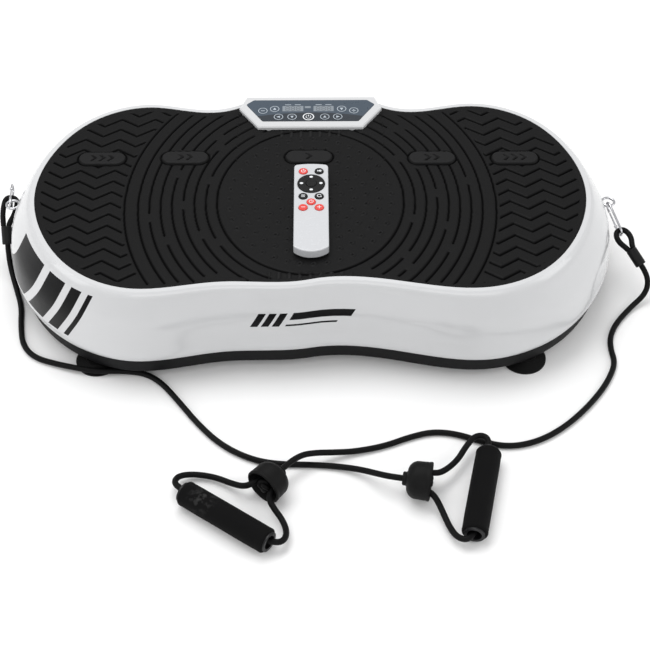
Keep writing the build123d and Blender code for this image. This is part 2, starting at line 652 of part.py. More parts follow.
with BuildPart() as crank_shaft:
    back = BEARING_Y[1] + 9
    front = PULLEY_Y - PULLEY_WIDTH / 2 - 2
    with Locations((ROD_X, (back + front) / 2, CRANK_Z)):
        Cylinder(CRANK_R, back - front, rotation=(90, 0, 0))
    with Locations((ROD_X + THROW, 0, CRANK_Z)):
        Cylinder(ECCENTRIC_R, ROD_THICKNESS + 2, rotation=(90, 0, 0))
    for side in (-1, 1):
        with Locations((ROD_X, side * 20, CRANK_Z)):
            Cylinder(12, 5, rotation=(90, 0, 0))
write(crank_shaft, "crank_shaft")

with BuildPart() as connecting_rod:
    big_bore = ECCENTRIC_R + BIG_END_PLAY
    with BuildSketch(Plane.XZ):
        with Locations((ROD_X, CRANK_Z)):
            Circle(big_bore + 5.5)
        with Locations((ROD_X, ROD_PIN_Z)):
            Circle(ROD_PIN_R + 5)
        with Locations((ROD_X, (CRANK_Z + ROD_PIN_Z) / 2 + 6)):
            Rectangle(ROD_NECK, ROD_PIN_Z - CRANK_Z - ROD_NECK)
        with Locations((ROD_X, CRANK_Z)):
            Circle(big_bore, mode=Mode.SUBTRACT)
        with Locations((ROD_X, ROD_PIN_Z)):
            Circle(ROD_PIN_R + RUNNING, mode=Mode.SUBTRACT)
    extrude(amount=ROD_THICKNESS / 2, both=True)
write(connecting_rod, "connecting_rod")

# ---------------------------------------------------------------- electrics in the base
with BuildPart() as power_board:
    with Locations((BOARD_X, 0, PLATE_TOP + BOARD_RISE)):
        Box(*BOARD, align=ON_BASE)
    with Locations((BOARD_X, 0, PLATE_TOP)):
        with GridLocations(BOARD[0] - 14, BOARD[1] - 14, 2, 2):
            Cylinder(3, BOARD_RISE + 0.5, align=ON_BASE)
    with Locations((BOARD_X - 30, 10, PLATE_TOP + BOARD_RISE + 1)):
        Box(36, 32, 28, align=ON_BASE)
    capacitor_z = PLATE_TOP + BOARD_RISE + 1
    with Locations((BOARD_X + 32, 20, capacitor_z), (BOARD_X + 32, -2, capacitor_z)):
        Cylinder(8, 26, align=ON_BASE)
    with Locations((BOARD_X, -28, PLATE_TOP + BOARD_RISE + 1)):
        with GridLocations(0, 5, 1, 4):
            Box(60, 2, 20, align=ON_BASE)
write(power_board, "power_board")

with BuildPart() as power_inlet:
    with Locations((INLET_X, PAD_Y, SOCKET_Z)):
        Box(SOCKET[0], 24, SOCKET[1], align=BEHIND)
        Box(32, *SOCKET_FLANGE, align=BEFORE)
    with Locations((INLET_X, PAD_Y + 3, SOCKET_Z)):
        Box(SOCKET_MOUTH[0], 20, SOCKET_MOUTH[1], align=BEHIND, mode=Mode.SUBTRACT)
    with Locations((INLET_X - 6, PAD_Y - 18, SOCKET_Z - 1), (INLET_X + 6, PAD_Y - 18, SOCKET_Z - 1),
                   (INLET_X, PAD_Y - 18, SOCKET_Z + 3)):
        Box(2, 13, 2, align=BEFORE)
write(power_inlet, "power_inlet")

with BuildPart() as switch_frame:
    with Locations((SWITCH_X, PAD_Y, SOCKET_Z)):
        Box(SOCKET[0], 20, SOCKET[1], align=BEHIND)
        Box(30, *SOCKET_FLANGE, align=BEFORE)
    with Locations((SWITCH_X, PAD_Y + 3, SOCKET_Z)):
        Box(SOCKET_MOUTH[0], 13, SOCKET_MOUTH[1], align=BEHIND, mode=Mode.SUBTRACT)
write(switch_frame, "switch_frame")

turn = math.radians(ROCKER_DEG)
with BuildPart() as power_rocker:
    rocker_at = (SWITCH_X, PAD_Y, SOCKET_Z - 6)
    with BuildSketch(Plane(origin=rocker_at, x_dir=(math.cos(turn), -math.sin(turn), 0), z_dir=(0, 0, 1))):
        with BuildLine():
            Polyline((-10, -1), (10, -1), (10, 2.2), (0, 0.8), (-10, 2.2), close=True)
        make_face()
        Circle(3.5)
    extrude(amount=12)
write(power_rocker, "power_rocker")

# ---------------------------------------------------------------- eye bolts, hooks, ferrules
with BuildPart() as eye_brackets:
    for side in (-1, 1):
        with Locations((side * (BRACKET_X + BRACKET[2] - BRACKET[0] / 2), RING_Y, PLATE_TOP)):
            Box(*BRACKET, align=ON_BASE)
        with Locations((side * (BRACKET_X + 2), RING_Y, PLATE_TOP)):
            Box(BRACKET_WALL, BRACKET[1], RING_Z + 12 - PLATE_TOP, align=ON_BASE)
        with Locations((side * (BRACKET_X + 2), RING_Y, RING_Z)):
            Cylinder(EYE_SHANK_R, 10, rotation=(0, 90, 0), mode=Mode.SUBTRACT)
write(eye_brackets, "eye_brackets")

with BuildPart() as eye_bolts:
    for side in (-1, 1):
        tip = RING_X - RING_R
        tail = BRACKET_X - 12
        with Locations((side * (tip + tail) / 2, RING_Y, RING_Z)):
            Cylinder(EYE_SHANK_R, tip - tail, rotation=(0, 90, 0))
        with Locations((side * RING_X, RING_Y, RING_Z)):
            Torus(RING_R, RING_WIRE_R)
        for nut_x in (BRACKET_X - 0.5, BRACKET_X + 2 + BRACKET_WALL / 2):
            with BuildSketch(Plane.YZ.offset(side * nut_x)):
                with Locations((RING_Y, RING_Z)):
                    RegularPolygon(NUT[0], 6)
            extrude(amount=side * NUT[1] if nut_x > BRACKET_X else -side * NUT[1])
write(eye_bolts, "eye_bolts")


def hook_plane(side, ends):
    """Plane of a snap hook: its x axis runs from end to end, its normal is close to the X axis."""
    start, end = (from_ring(side, point) for point in ends)
    direction = (end - start).normalized()
    normal = Vector(1, 0, 0) - direction * direction.X
    return Plane(origin=(start + end) * 0.5, x_dir=direction, z_dir=normal)


def snap_hook(plane):
    """A flat oval hook with one straight side cut for its gate, and that gate."""
    gate_y = (HOOK_WIDTH - HOOK_WIRE) / 2
    pivot_x = -2 + GATE_LENGTH / 2 - 0.8
    with BuildPart() as hook:
        with BuildSketch(plane):
            SlotOverall(HOOK_LENGTH, HOOK_WIDTH)
            SlotOverall(HOOK_LENGTH - 2 * HOOK_WIRE, HOOK_WIDTH - 2 * HOOK_WIRE, mode=Mode.SUBTRACT)
            with Locations((-2, gate_y)):
                Rectangle(GATE_LENGTH, HOOK_WIRE + 1, mode=Mode.SUBTRACT)
        extrude(amount=HOOK_WIRE / 2, both=True)
        fillet(hook.edges().filter_by(GeomType.CIRCLE), HOOK_WIRE * 0.3)
    with BuildPart() as gate:
        with BuildSketch(plane):
            with Locations((-2, gate_y)):
                Rectangle(GATE_LENGTH - 0.8, HOOK_WIRE - 0.6)
        extrude(amount=HOOK_WIRE / 2 - 0.2, both=True)
        with BuildSketch(plane):
            with Locations((pivot_x, gate_y)):
                Circle(GATE_PIN_R)
        extrude(amount=HOOK_WIRE / 2 + 0.2, both=True)
    pivot = plane.from_local_coords((pivot_x, gate_y, 0))
    print("gate pivot", [round(v, 3) for v in pivot], "axis", [round(v, 5) for v in plane.z_dir])
    return hook, gate


right_plane = hook_plane(1, RIGHT_HOOK)
left_plane = hook_plane(-1, LEFT_HOOK)
right_hook, right_gate = snap_hook(right_plane)
write(right_hook, "right_snap_hook")
write(right_gate, "right_hook_gate")
left_hook, left_gate = snap_hook(left_plane)
write(left_hook, "left_snap_hook")
write(left_gate, "left_hook_gate")


def ferrule_start(route):
    """Where a ferrule meets its eye: its length back from the start of the cord, in line with it."""
    first, second = Vector(*route[0]), Vector(*route[1])
    return first + (first - second).normalized() * FERRULE_LENGTH


right_route = laid(RIGHT_CORD)
left_route = laid(LEFT_CORD)
with BuildPart() as ferrules:
    for route in (right_route, left_route):
        base = ferrule_start(route)
        with BuildSketch(Plane(origin=base, z_dir=Vector(*route[0]) - base)):
            Circle(FERRULE_R)
        extrude(amount=FERRULE_LENGTH)
    chamfer(ferrules.edges().filter_by(GeomType.CIRCLE), 1)
write(ferrules, "ferrules")


def eye_route(route, tip, steps, normal):
    """Teardrop loop from the ferrule's face, through the hook and back."""
    base = ferrule_start(route)
    axis = (base - Vector(*route[0])).normalized()
    flat = (normal - axis * axis.dot(normal)).normalized()
    neck = base + axis * 3
    reach = tip - neck
    out = reach.normalized()
    side = (normal - out * out.dot(normal)).normalized()
    half = [base + flat * LEG_OFFSET, neck + flat * LEG_OFFSET]
    other = [neck - flat * LEG_OFFSET, base - flat * LEG_OFFSET]
    half += [neck + reach * t + side * s for t, s in steps]
    other = [neck + reach * t - side * s for t, s in reversed(steps)] + other
    return [(p.X, p.Y, p.Z) for p in half + other]


right_tip = from_ring(1, RIGHT_EYE[0])
left_tip = from_ring(-1, LEFT_EYE[0])
cord(eye_route(right_route, right_tip, RIGHT_EYE[1], right_plane.z_dir), "right_eye_loop")
cord(eye_route(left_route, left_tip, LEFT_EYE[1], left_plane.z_dir), "left_eye_loop")

# ---------------------------------------------------------------- cords, bells and handles
cord(right_route, "right_cord")
cord(left_route, "left_cord")
cord(LEFT_LOOP, "left_loop_cord")
cord(RIGHT_LOOP, "right_loop_cord")


def bell(route, name):
    """A rubber stopper at the end of a cord: collar, domed back, open mouth and the knot in its middle."""
    origin = Vector(*route[-1])
    direction = (origin - Vector(*route[-2])).normalized()
    up = Vector(0, 0, 1)
    axis_plane = Plane(origin=origin, x_dir=up, z_dir=up.cross(direction))
    collar_r, collar = BELL_COLLAR
    mouth = collar + BELL_LENGTH
    web = collar + BELL_WEB
    with BuildPart() as cup:
        with BuildSketch(axis_plane):
            with BuildLine():
                Polyline((0, 0), (collar_r, 0), (collar_r, collar), (BELL_R - 9, collar))
                ThreePointArc((BELL_R - 9, collar), (BELL_R - 2.6, collar + 3), (BELL_R, collar + 10))
                Polyline((BELL_R, collar + 10), (BELL_R, mouth), (BELL_R - BELL_WALL, mouth),
                         (BELL_R - BELL_WALL, web), (0, web), (0, 0))
            make_face()
        revolve(axis=Axis(origin, direction))
        with Locations(origin + direction * (mouth - KNOT_R + 3)):
            Sphere(KNOT_R)
        with BuildSketch(Plane(origin=origin, z_dir=direction)):
            Circle(CORD_R)
        extrude(amount=mouth - 4)
    write(cup, name)


bell(right_route, "left_bell")
bell(left_route, "right_bell")


def handle(place, side):
    """A plastic tube with a lip at each end, and the foam grip between the lips."""
    start, direction = place
    with BuildPart() as tube:
        with BuildSketch(Plane(origin=start, z_dir=direction)):
            ring_profile(TUBE_BORE_R, TUBE_R)
        extrude(amount=GRIP_LENGTH)
        far = Vector(*start) + Vector(*direction).normalized() * (GRIP_LENGTH - LIP)
        for origin in (start, far):
            with BuildSketch(Plane(origin=origin, z_dir=direction)):
                ring_profile(TUBE_BORE_R, LIP_R)
            extrude(amount=LIP)
    write(tube, f"{side}_grip_tube")
    near = Vector(*start) + Vector(*direction).normalized() * LIP
    with BuildPart() as foam:
        with BuildSketch(Plane(origin=near, z_dir=direction)):
            ring_profile(TUBE_R, FOAM_R)
        extrude(amount=GRIP_LENGTH - 2 * LIP)
        fillet(foam.edges().filter_by(GeomType.CIRCLE).group_by(SortBy.RADIUS)[-1], 2.5)
    write(foam, f"{side}_foam_grip")


handle(LEFT_GRIP, "left")
handle(RIGHT_GRIP, "right")

# ---------------------------------------------------------------- remote control
REMOTE_Z = PLATE_HEIGHT
COVER_Z = REMOTE_Z + REMOTE_HEIGHT
SPLIT_Z = REMOTE_Z + REMOTE_SPLIT
FLANGE_Z = COVER_Z - REMOTE_WALL - 0.6 - KEY_FLANGE


def remote_face(z, grow):
    """Outline of the remote: straight sides, rounded near end, faintly curved far end."""
    half = REMOTE_WIDTH / 2 + grow
    near, far = REMOTE_Y[0] - grow, REMOTE_Y[1] + grow
    with BuildSketch(Plane.XY.offset(z)) as face:
        with BuildLine():
            corner_near = (REMOTE_X + half, near + REMOTE_NEAR_ARC)
            corner_far = (REMOTE_X + half, far - REMOTE_FAR_ARC)
            left_near = (REMOTE_X - half, near + REMOTE_NEAR_ARC)
            left_far = (REMOTE_X - half, far - REMOTE_FAR_ARC)
            Line(corner_near, corner_far)
            ThreePointArc(corner_far, (REMOTE_X, far), left_far)
            Line(left_far, left_near)
            ThreePointArc(left_near, (REMOTE_X, near), corner_near)
        make_face()
        fillet(face.vertices(), 5)
    return face.sketch


with BuildPart() as remote_bottom:
    extrude(remote_face(REMOTE_Z, 0), amount=REMOTE_SPLIT)
    fillet(remote_bottom.edges().group_by(Axis.Z)[0], 1.5)
    extrude(remote_face(REMOTE_Z + REMOTE_WALL, -REMOTE_WALL), amount=REMOTE_HEIGHT, mode=Mode.SUBTRACT)
write(remote_bottom, "remote_bottom")

with BuildPart() as remote_top:
    extrude(remote_face(SPLIT_Z, 0), amount=COVER_Z - SPLIT_Z)
    fillet(remote_top.edges().group_by(Axis.Z)[-1], 1.5)
    extrude(remote_face(SPLIT_Z, -REMOTE_WALL), amount=COVER_Z - REMOTE_WALL - SPLIT_Z, mode=Mode.SUBTRACT)
    for x, y in REMOTE_KEYS.values():
        with Locations((REMOTE_X + x, y, COVER_Z)):
            Cylinder(KEY_R + KEY_GAP, 20, mode=Mode.SUBTRACT)
    with Locations((REMOTE_X, 0, COVER_Z)):
        Cylinder(PAD_R + KEY_GAP, 20, mode=Mode.SUBTRACT)
write(remote_top, "remote_top")

with BuildPart() as remote_board:
    with BuildSketch(Plane.XY.offset(SPLIT_Z)):
        with Locations((REMOTE_X, (REMOTE_Y[0] + REMOTE_Y[1]) / 2 + 6)):
            RectangleRounded(REMOTE_WIDTH - 2 * REMOTE_WALL - 1, REMOTE_Y[1] - REMOTE_Y[0] - 30, 3)
    extrude(amount=1.4)
write(remote_board, "remote_board")

with BuildPart() as remote_battery:
    with Locations((REMOTE_X, REMOTE_Y[0] + 40, REMOTE_Z + REMOTE_WALL)):
        Cylinder(10, 2.5, align=ON_BASE)
write(remote_battery, "remote_battery")


def key(x, y, radius, hole, rise, flange):
    """A round key that stands above the cover, with a flange under it that keeps it in."""
    with BuildPart() as button:
        with BuildSketch(Plane.XY.offset(FLANGE_Z)):
            with Locations((REMOTE_X + x, y)):
                Circle(radius)
                if hole:
                    Circle(hole, mode=Mode.SUBTRACT)
        extrude(amount=COVER_Z + rise - FLANGE_Z)
        fillet(button.edges().group_by(Axis.Z)[-1], 0.5)
        if flange:
            with BuildSketch(Plane.XY.offset(FLANGE_Z)):
                with Locations((REMOTE_X + x, y)):
                    Circle(radius + flange)
                    Circle(radius - 1, mode=Mode.SUBTRACT)
            extrude(amount=KEY_FLANGE)
    return button


for name, (x, y) in REMOTE_KEYS.items():
    write(key(x, y, KEY_R, 0, KEY_RISE, 0.8), name)
write(key(0, 0, PAD_R, PAD_HOLE_R, KEY_RISE, 0.8), "remote_pad")
write(key(0, 0, PAD_HOLE_R - KEY_GAP, 0, KEY_RISE + 0.4, 0), "remote_pad_centre")
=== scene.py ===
"""Vibration plate: materials, soft pieces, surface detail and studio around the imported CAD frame."""

import json
import math

import bpy
import numpy as np
from mathutils import Matrix, Vector


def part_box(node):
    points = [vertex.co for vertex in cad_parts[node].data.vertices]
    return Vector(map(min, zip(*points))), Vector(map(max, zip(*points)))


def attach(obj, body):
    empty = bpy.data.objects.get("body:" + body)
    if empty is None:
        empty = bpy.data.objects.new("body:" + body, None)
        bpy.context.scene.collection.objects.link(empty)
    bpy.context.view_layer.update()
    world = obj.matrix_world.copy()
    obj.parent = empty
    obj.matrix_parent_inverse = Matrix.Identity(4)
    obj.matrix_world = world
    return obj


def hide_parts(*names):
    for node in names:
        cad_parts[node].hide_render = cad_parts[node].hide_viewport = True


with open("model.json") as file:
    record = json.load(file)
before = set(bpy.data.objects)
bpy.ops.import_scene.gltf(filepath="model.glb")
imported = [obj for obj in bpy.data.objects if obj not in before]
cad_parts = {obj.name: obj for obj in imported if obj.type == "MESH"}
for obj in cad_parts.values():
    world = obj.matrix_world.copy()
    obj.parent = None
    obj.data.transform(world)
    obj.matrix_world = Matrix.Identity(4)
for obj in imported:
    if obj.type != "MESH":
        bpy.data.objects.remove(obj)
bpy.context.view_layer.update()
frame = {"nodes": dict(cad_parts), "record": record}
nodes = frame["nodes"]
MM = 0.001


# ---------------------------------------------------------------- camera
CAMERA_PLACE = (0.009, -1.365, 1.306)
CAMERA_PITCH = 46.0         # degrees below the horizon
CAMERA_YAW = -0.39
LENS = 78.8

camera_data = bpy.data.cameras.new("camera")
camera_data.lens = LENS
camera_data.sensor_width = 36.0
camera_data.clip_end = 50.0
camera = bpy.data.objects.new("camera", camera_data)
camera.location = CAMERA_PLACE
camera.rotation_euler = (math.radians(90 - CAMERA_PITCH), 0, math.radians(CAMERA_YAW))
bpy.context.scene.collection.objects.link(camera)
bpy.context.scene.camera = camera
bpy.context.scene.view_settings.view_transform = "Standard"


# ---------------------------------------------------------------- material graphs
class Graph:
    """A material's node tree with short ways to add the nodes used here."""

    def __init__(self, name):
        self.material = bpy.data.materials.new(name)
        self.material.use_nodes = True
        self.tree = self.material.node_tree
        self.shader = self.tree.nodes["Principled BSDF"]
        self.place = self.node("ShaderNodeTexCoord").outputs["Object"]

    def node(self, kind, **values):
        made = self.tree.nodes.new(kind)
        for key, value in values.items():
            setattr(made, key, value)
        return made

    def feed(self, socket, value):
        if isinstance(value, bpy.types.NodeSocket):
            self.tree.links.new(value, socket)
        else:
            socket.default_value = value

    def math(self, operation, first, second=0.0, third=0.0):
        made = self.node("ShaderNodeMath", operation=operation)
        for socket, value in zip(made.inputs, (first, second, third)):
            self.feed(socket, value)
        return made.outputs[0]

    def axes(self):
        made = self.node("ShaderNodeSeparateXYZ")
        self.feed(made.inputs[0], self.place)
        return made.outputs

    def stretched(self, scale):
        made = self.node("ShaderNodeMapping")
        self.feed(made.inputs["Vector"], self.place)
        made.inputs["Scale"].default_value = scale
        return made.outputs[0]

    def noise(self, scale, detail=3.0, place=None):
        made = self.node("ShaderNodeTexNoise")
        self.feed(made.inputs["Vector"], place or self.place)
        made.inputs["Scale"].default_value = scale
        made.inputs["Detail"].default_value = detail
        return made.outputs["Fac"]

    def cells(self, scale):
        made = self.node("ShaderNodeTexVoronoi")
        self.feed(made.inputs["Vector"], self.place)
        made.inputs["Scale"].default_value = scale
        return made.outputs["Distance"]

    def ramp(self, value, low, high, to_low=0.0, to_high=1.0):
        made = self.node("ShaderNodeMapRange")
        for key, given in zip(("Value", "From Min", "From Max", "To Min", "To Max"),
                              (value, low, high, to_low, to_high)):
            self.feed(made.inputs[key], given)
        return made.outputs[0]

    def mix(self, share, first, second):
        made = self.node("ShaderNodeMix", data_type="RGBA")
        self.feed(made.inputs["Factor"], share)
        self.feed(made.inputs[6], first)
        self.feed(made.inputs[7], second)
        return made.outputs[2]

    def bump(self, height, distance, strength=1.0):
        made = self.node("ShaderNodeBump")
        self.feed(made.inputs["Height"], height)
        made.inputs["Distance"].default_value = distance
        made.inputs["Strength"].default_value = strength
        self.feed(self.shader.inputs["Normal"], made.outputs[0])

    def inside(self, value, low, high):
        above = self.math("GREATER_THAN", value, low)
        return self.math("MULTIPLY", above, self.math("LESS_THAN", value, high))

    def both(self, *masks):
        result = masks[0]
        for mask in masks[1:]:
            result = self.math("MULTIPLY", result, mask)
        return result

    def either(self, *masks):
        result = masks[0]
        for mask in masks[1:]:
            result = self.math("MAXIMUM", result, mask)
        return result


def rgba(colour, share=1.0):
    return tuple(min(c * share, 1.0) for c in colour) + (1.0,)


def surface(name, colour, rough, metal=0.0, spread=0.08, grain=0.00003, grain_scale=1800.0, coat=0.0,
            patch=30.0, specular=0.5):
    """A moulded or metal surface: patchy colour, uneven gloss and a fine grain."""
    g = Graph(name)
    patches = g.noise(patch)
    g.feed(g.shader.inputs["Base Color"], g.mix(patches, rgba(colour, 1 - spread), rgba(colour, 1 + spread)))
    g.feed(g.shader.inputs["Roughness"], g.ramp(g.noise(patch * 5), 0.3, 0.7, rough * 0.88, rough * 1.12))
    g.shader.inputs["Metallic"].default_value = metal
    g.shader.inputs["Specular IOR Level"].default_value = specular
    if coat:
        g.shader.inputs["Coat Weight"].default_value = coat
        g.shader.inputs["Coat Roughness"].default_value = 0.06
    g.bump(g.noise(grain_scale, 2.0), grain)
    return g


def brushed(name, colour, rough, direction):
    """Metal with fine lines drawn out along one axis."""
    g = Graph(name)
    lines = g.noise(60.0, 4.0, g.stretched(direction))
    g.feed(g.shader.inputs["Base Color"], g.mix(lines, rgba(colour, 0.9), rgba(colour, 1.05)))
    g.feed(g.shader.inputs["Roughness"], g.ramp(lines, 0.3, 0.7, rough * 0.8, rough * 1.2))
    g.shader.inputs["Metallic"].default_value = 1.0
    g.bump(lines, 0.00002)
    return g


def cellular(name, colour, rough, scale, depth, sheen=0.0, specular=0.25):
    """Foam or rubber with a closed-cell or pebbled skin."""
    g = Graph(name)
    cells = g.cells(scale)
    patches = g.noise(60.0)
    g.feed(g.shader.inputs["Base Color"], g.mix(patches, rgba(colour, 0.85), rgba(colour, 1.2)))
    g.feed(g.shader.inputs["Roughness"], g.ramp(patches, 0.3, 0.7, rough * 0.94, min(rough * 1.06, 1.0)))
    g.shader.inputs["Sheen Weight"].default_value = sheen
    g.shader.inputs["Specular IOR Level"].default_value = specular
    g.bump(g.math("ADD", cells, g.math("MULTIPLY", g.noise(scale * 0.3), 0.6)), depth)
    return g


# ---------------------------------------------------------------- materials
GROOVE = 0.0017             # depth of the mat's grooves
RISE = 0.0014               # dots and plaques above the mat's field
WHITE = (0.60, 0.605, 0.615)
PRINT_BLACK = (0.005, 0.005, 0.0055)


def shell_material():
    """White gloss shell with generic printed bars at the front left and the front middle."""
    g = surface("shell_white", WHITE, 0.22, spread=0.012, coat=0.5, grain=0.000012, grain_scale=500.0)
    x, y, z = g.axes()
    front = g.math("LESS_THAN", y, 0.0)
    slanted = g.math("ADD", x, g.math("MULTIPLY", z, -0.55))
    bars = []
    for start, width in ((-0.418, 0.030), (-0.380, 0.021), (-0.351, 0.013), (-0.330, 0.006)):
        bars.append(g.inside(slanted, start, start + width))
    badge = g.both(front, g.either(*bars), g.inside(z, 0.052, 0.122))
    small = []
    for start, width in ((-0.116, 0.009), (-0.103, 0.009), (-0.090, 0.009)):
        small.append(g.inside(slanted, start, start + width))
    marks = g.both(g.either(*small), g.inside(z, 0.078, 0.098))
    long_bar = g.both(g.inside(slanted, -0.074, 0.0), g.inside(z, 0.088, 0.098))
    thin_bar = g.both(g.inside(slanted, -0.074, -0.012), g.inside(z, 0.078, 0.081))
    middle = g.both(front, g.either(marks, long_bar, thin_bar))
    printed = g.either(badge, middle)
    gloss = g.math("SUBTRACT", 1.0, printed)
    base = g.shader.inputs["Base Color"].links[0].from_socket
    g.feed(g.shader.inputs["Base Color"], g.mix(printed, base, rgba(PRINT_BLACK)))
    g.feed(g.shader.inputs["Specular IOR Level"], g.math("MULTIPLY_ADD", gloss, 0.40, 0.10))
    g.feed(g.shader.inputs["Coat Weight"], g.math("MULTIPLY", gloss, 0.5))
    return g


def mat_material():
    """Black rubber, with painted shade darker down in the grooves and a painted highlight on the raised dots.
    """
    g = cellular("mat_rubber", (0.0042, 0.0042, 0.0044), 0.45, 2600.0, 0.00005, specular=0.14)
    z = g.axes()[2]
    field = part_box("rubber_mat")[1].z - RISE
    # painted shade: depth runs from 0 at the groove bottoms to 1 on the field, and the grooves are mixed to a
    # darker black
    depth = g.ramp(z, field - GROOVE * 0.8, field - GROOVE * 0.1, 0.0, 1.0)
    # painted highlight: the tops of the raised dots, bars and plaques are mixed to a lighter black
    crest = g.ramp(z, field + RISE * 0.3, field + RISE, 0.0, 0.6)
    base = g.shader.inputs["Base Color"].links[0].from_socket
    crest_highlight = g.mix(crest, base, rgba((0.016, 0.016, 0.0165)))
    g.feed(g.shader.inputs["Base Color"], g.mix(depth, rgba((0.0012, 0.0012, 0.0013)), crest_highlight))
    g.feed(g.shader.inputs["Specular IOR Level"], g.math("MULTIPLY_ADD", depth, 0.08, 0.02))
    return g


def overlay_material():
    """Blue grey film with a darker lower band whose upper edge is an arc."""
    g = surface("overlay_film", (0.050, 0.070, 0.095), 0.30, spread=0.05, coat=0.15, specular=0.35)
    x, y, _ = g.axes()
    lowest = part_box("panel_overlay")[0].y
    edge = g.math("SUBTRACT", lowest + 0.0185, g.math("MULTIPLY", g.math("MULTIPLY", x, x), 1.6))
    lower = g.math("LESS_THAN", y, edge)
    base = g.shader.inputs["Base Color"].links[0].from_socket
    g.feed(g.shader.inputs["Base Color"], g.mix(lower, base, rgba((0.020, 0.027, 0.036))))
    return g


def foam_material(name, scuff):
    """Matte foam, with a pale scuffed patch if scuff gives its middle and size."""
    g = cellular(name, (0.0045, 0.0045, 0.0047), 0.85, 1500.0, 0.00012, sheen=0.01, specular=0.08)
    if scuff:
        middle, radius = scuff
        away = g.node("ShaderNodeVectorMath", operation="DISTANCE")
        g.feed(away.inputs[0], g.place)
        away.inputs[1].default_value = middle
        near = g.ramp(away.outputs["Value"], 0.0, radius, 1.0, 0.0)
        broken = g.ramp(g.noise(170.0, 6.0), 0.46, 0.62)
        base = g.shader.inputs["Base Color"].links[0].from_socket
        share = g.math("MULTIPLY", g.both(near, broken), 0.22)
        g.feed(g.shader.inputs["Base Color"], g.mix(share, base, rgba((0.16, 0.16, 0.16))))
    return g


def cord_material():
    """Tightly woven black cover, given as a fine bump of cells and noise."""
    g = surface("cord_black", (0.0025, 0.0025, 0.0027), 0.50, spread=0.15, grain=0.0, specular=0.12)
    weave = g.math("ADD", g.cells(1400.0), g.noise(900.0))
    g.bump(weave, 0.00015)
    return g


LOOKS = {
    "shell_white": shell_material(),
    "mat_rubber": mat_material(),
    "overlay_film": overlay_material(),
    "window_tint": surface("window_tint", (0.22, 0.25, 0.28), 0.18, coat=0.3),
    "board_green": surface("board_green", (0.03, 0.16, 0.07), 0.5, patch=120.0, spread=0.2),
    "frame_steel": surface("frame_steel", (0.07, 0.07, 0.08), 0.48, grain=0.00008, grain_scale=900.0),
    "bright_steel": brushed("bright_steel", (0.62, 0.62, 0.63), 0.3, (8.0, 1.0, 8.0)),
    "bush_nylon": surface("bush_nylon", (0.72, 0.70, 0.62), 0.45),
    "pan_black": surface("pan_black", (0.005, 0.005, 0.0055), 0.48, grain=0.00006, grain_scale=1200.0,
                         specular=0.16),
    "foot_rubber": cellular("foot_rubber", (0.005, 0.005, 0.005), 0.55, 1800.0, 0.00004, specular=0.12),
    "motor_paint": surface("motor_paint", (0.16, 0.17, 0.19), 0.4, grain=0.00005),
    "pulley_aluminium": brushed("pulley_aluminium", (0.75, 0.76, 0.78), 0.32, (1.0, 10.0, 1.0)),
    "belt_rubber": cellular("belt_rubber", (0.015, 0.015, 0.015), 0.7, 1200.0, 0.0001),
    "rocker_red": surface("rocker_red", (0.60, 0.03, 0.02), 0.3, coat=0.3),
    "hook_chrome": surface("hook_chrome", (0.58, 0.58, 0.60), 0.16, metal=1.0, spread=0.03, grain=0.00001),
    "ferrule_black": surface("ferrule_black", (0.005, 0.005, 0.0055), 0.40, specular=0.2),
    "cord_black": cord_material(),
    "tube_black": surface("tube_black", (0.008, 0.008, 0.009), 0.38, specular=0.3),
    "foam_black": foam_material("foam_black", None),
    "remote_white": surface("remote_white", (0.56, 0.57, 0.59), 0.26, spread=0.02, coat=0.4, grain=0.00001),
    "key_red": surface("key_red", (0.68, 0.045, 0.035), 0.42, spread=0.05),
    "key_black": surface("key_black", (0.005, 0.005, 0.0055), 0.40, specular=0.2),
    "mark_white": surface("mark_white", (0.78, 0.80, 0.82), 0.4, spread=0.02),
    "mark_grey": surface("mark_grey", (0.42, 0.47, 0.52), 0.4, spread=0.03),
    "mark_dim": surface("mark_dim", (0.055, 0.065, 0.075), 0.3, spread=0.03),
}


def paint(obj, look):
    """Gives a new piece one of the looks."""
    obj.data.materials.clear()
    obj.data.materials.append(LOOKS[look].material)


for row in frame["record"]["subparts"]:
    cad = nodes[row["node"]]
    look = LOOKS[row["material_slot"]].material
    if cad.material_slots:
        for slot in cad.material_slots:
            slot.link = "OBJECT"
            slot.material = look
    else:
        cad.data.materials.append(look)


# ---------------------------------------------------------------- mesh helpers
def new_mesh(name, points, faces, look, body, smooth=True):
    """A mesh piece from points and faces that rides on a body."""
    data = bpy.data.meshes.new(name)
    data.from_pydata([tuple(p) for p in points], [], faces)
    data.validate()
    if smooth:
        data.shade_smooth()
    obj = bpy.data.objects.new(name, data)
    bpy.context.scene.collection.objects.link(obj)
    paint(obj, look)
    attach(obj, body)
    return obj


def new_curve(name, points, radius, look, body, cyclic=False, kind="NURBS"):
    """A round wire through control points."""
    data = bpy.data.curves.new(name, "CURVE")
    data.dimensions = "3D"
    data.bevel_depth = radius
    data.bevel_resolution = 5
    data.use_fill_caps = True
    spline = data.splines.new(kind)
    spline.points.add(len(points) - 1)
    for point, place in zip(spline.points, points):
        point.co = (*place, 1.0)
    spline.order_u = 3
    spline.use_endpoint_u = not cyclic
    spline.use_cyclic_u = cyclic
    spline.resolution_u = 12
    obj = bpy.data.objects.new(name, data)
    bpy.context.scene.collection.objects.link(obj)
    paint(obj, look)
    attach(obj, body)
    return obj


def axis_frame(origin, direction):
    """Matrix whose local z axis runs along direction from origin."""
    turn = Vector(direction).normalized().to_track_quat("Z", "Y").to_matrix().to_4x4()
    return Matrix.Translation(origin) @ turn


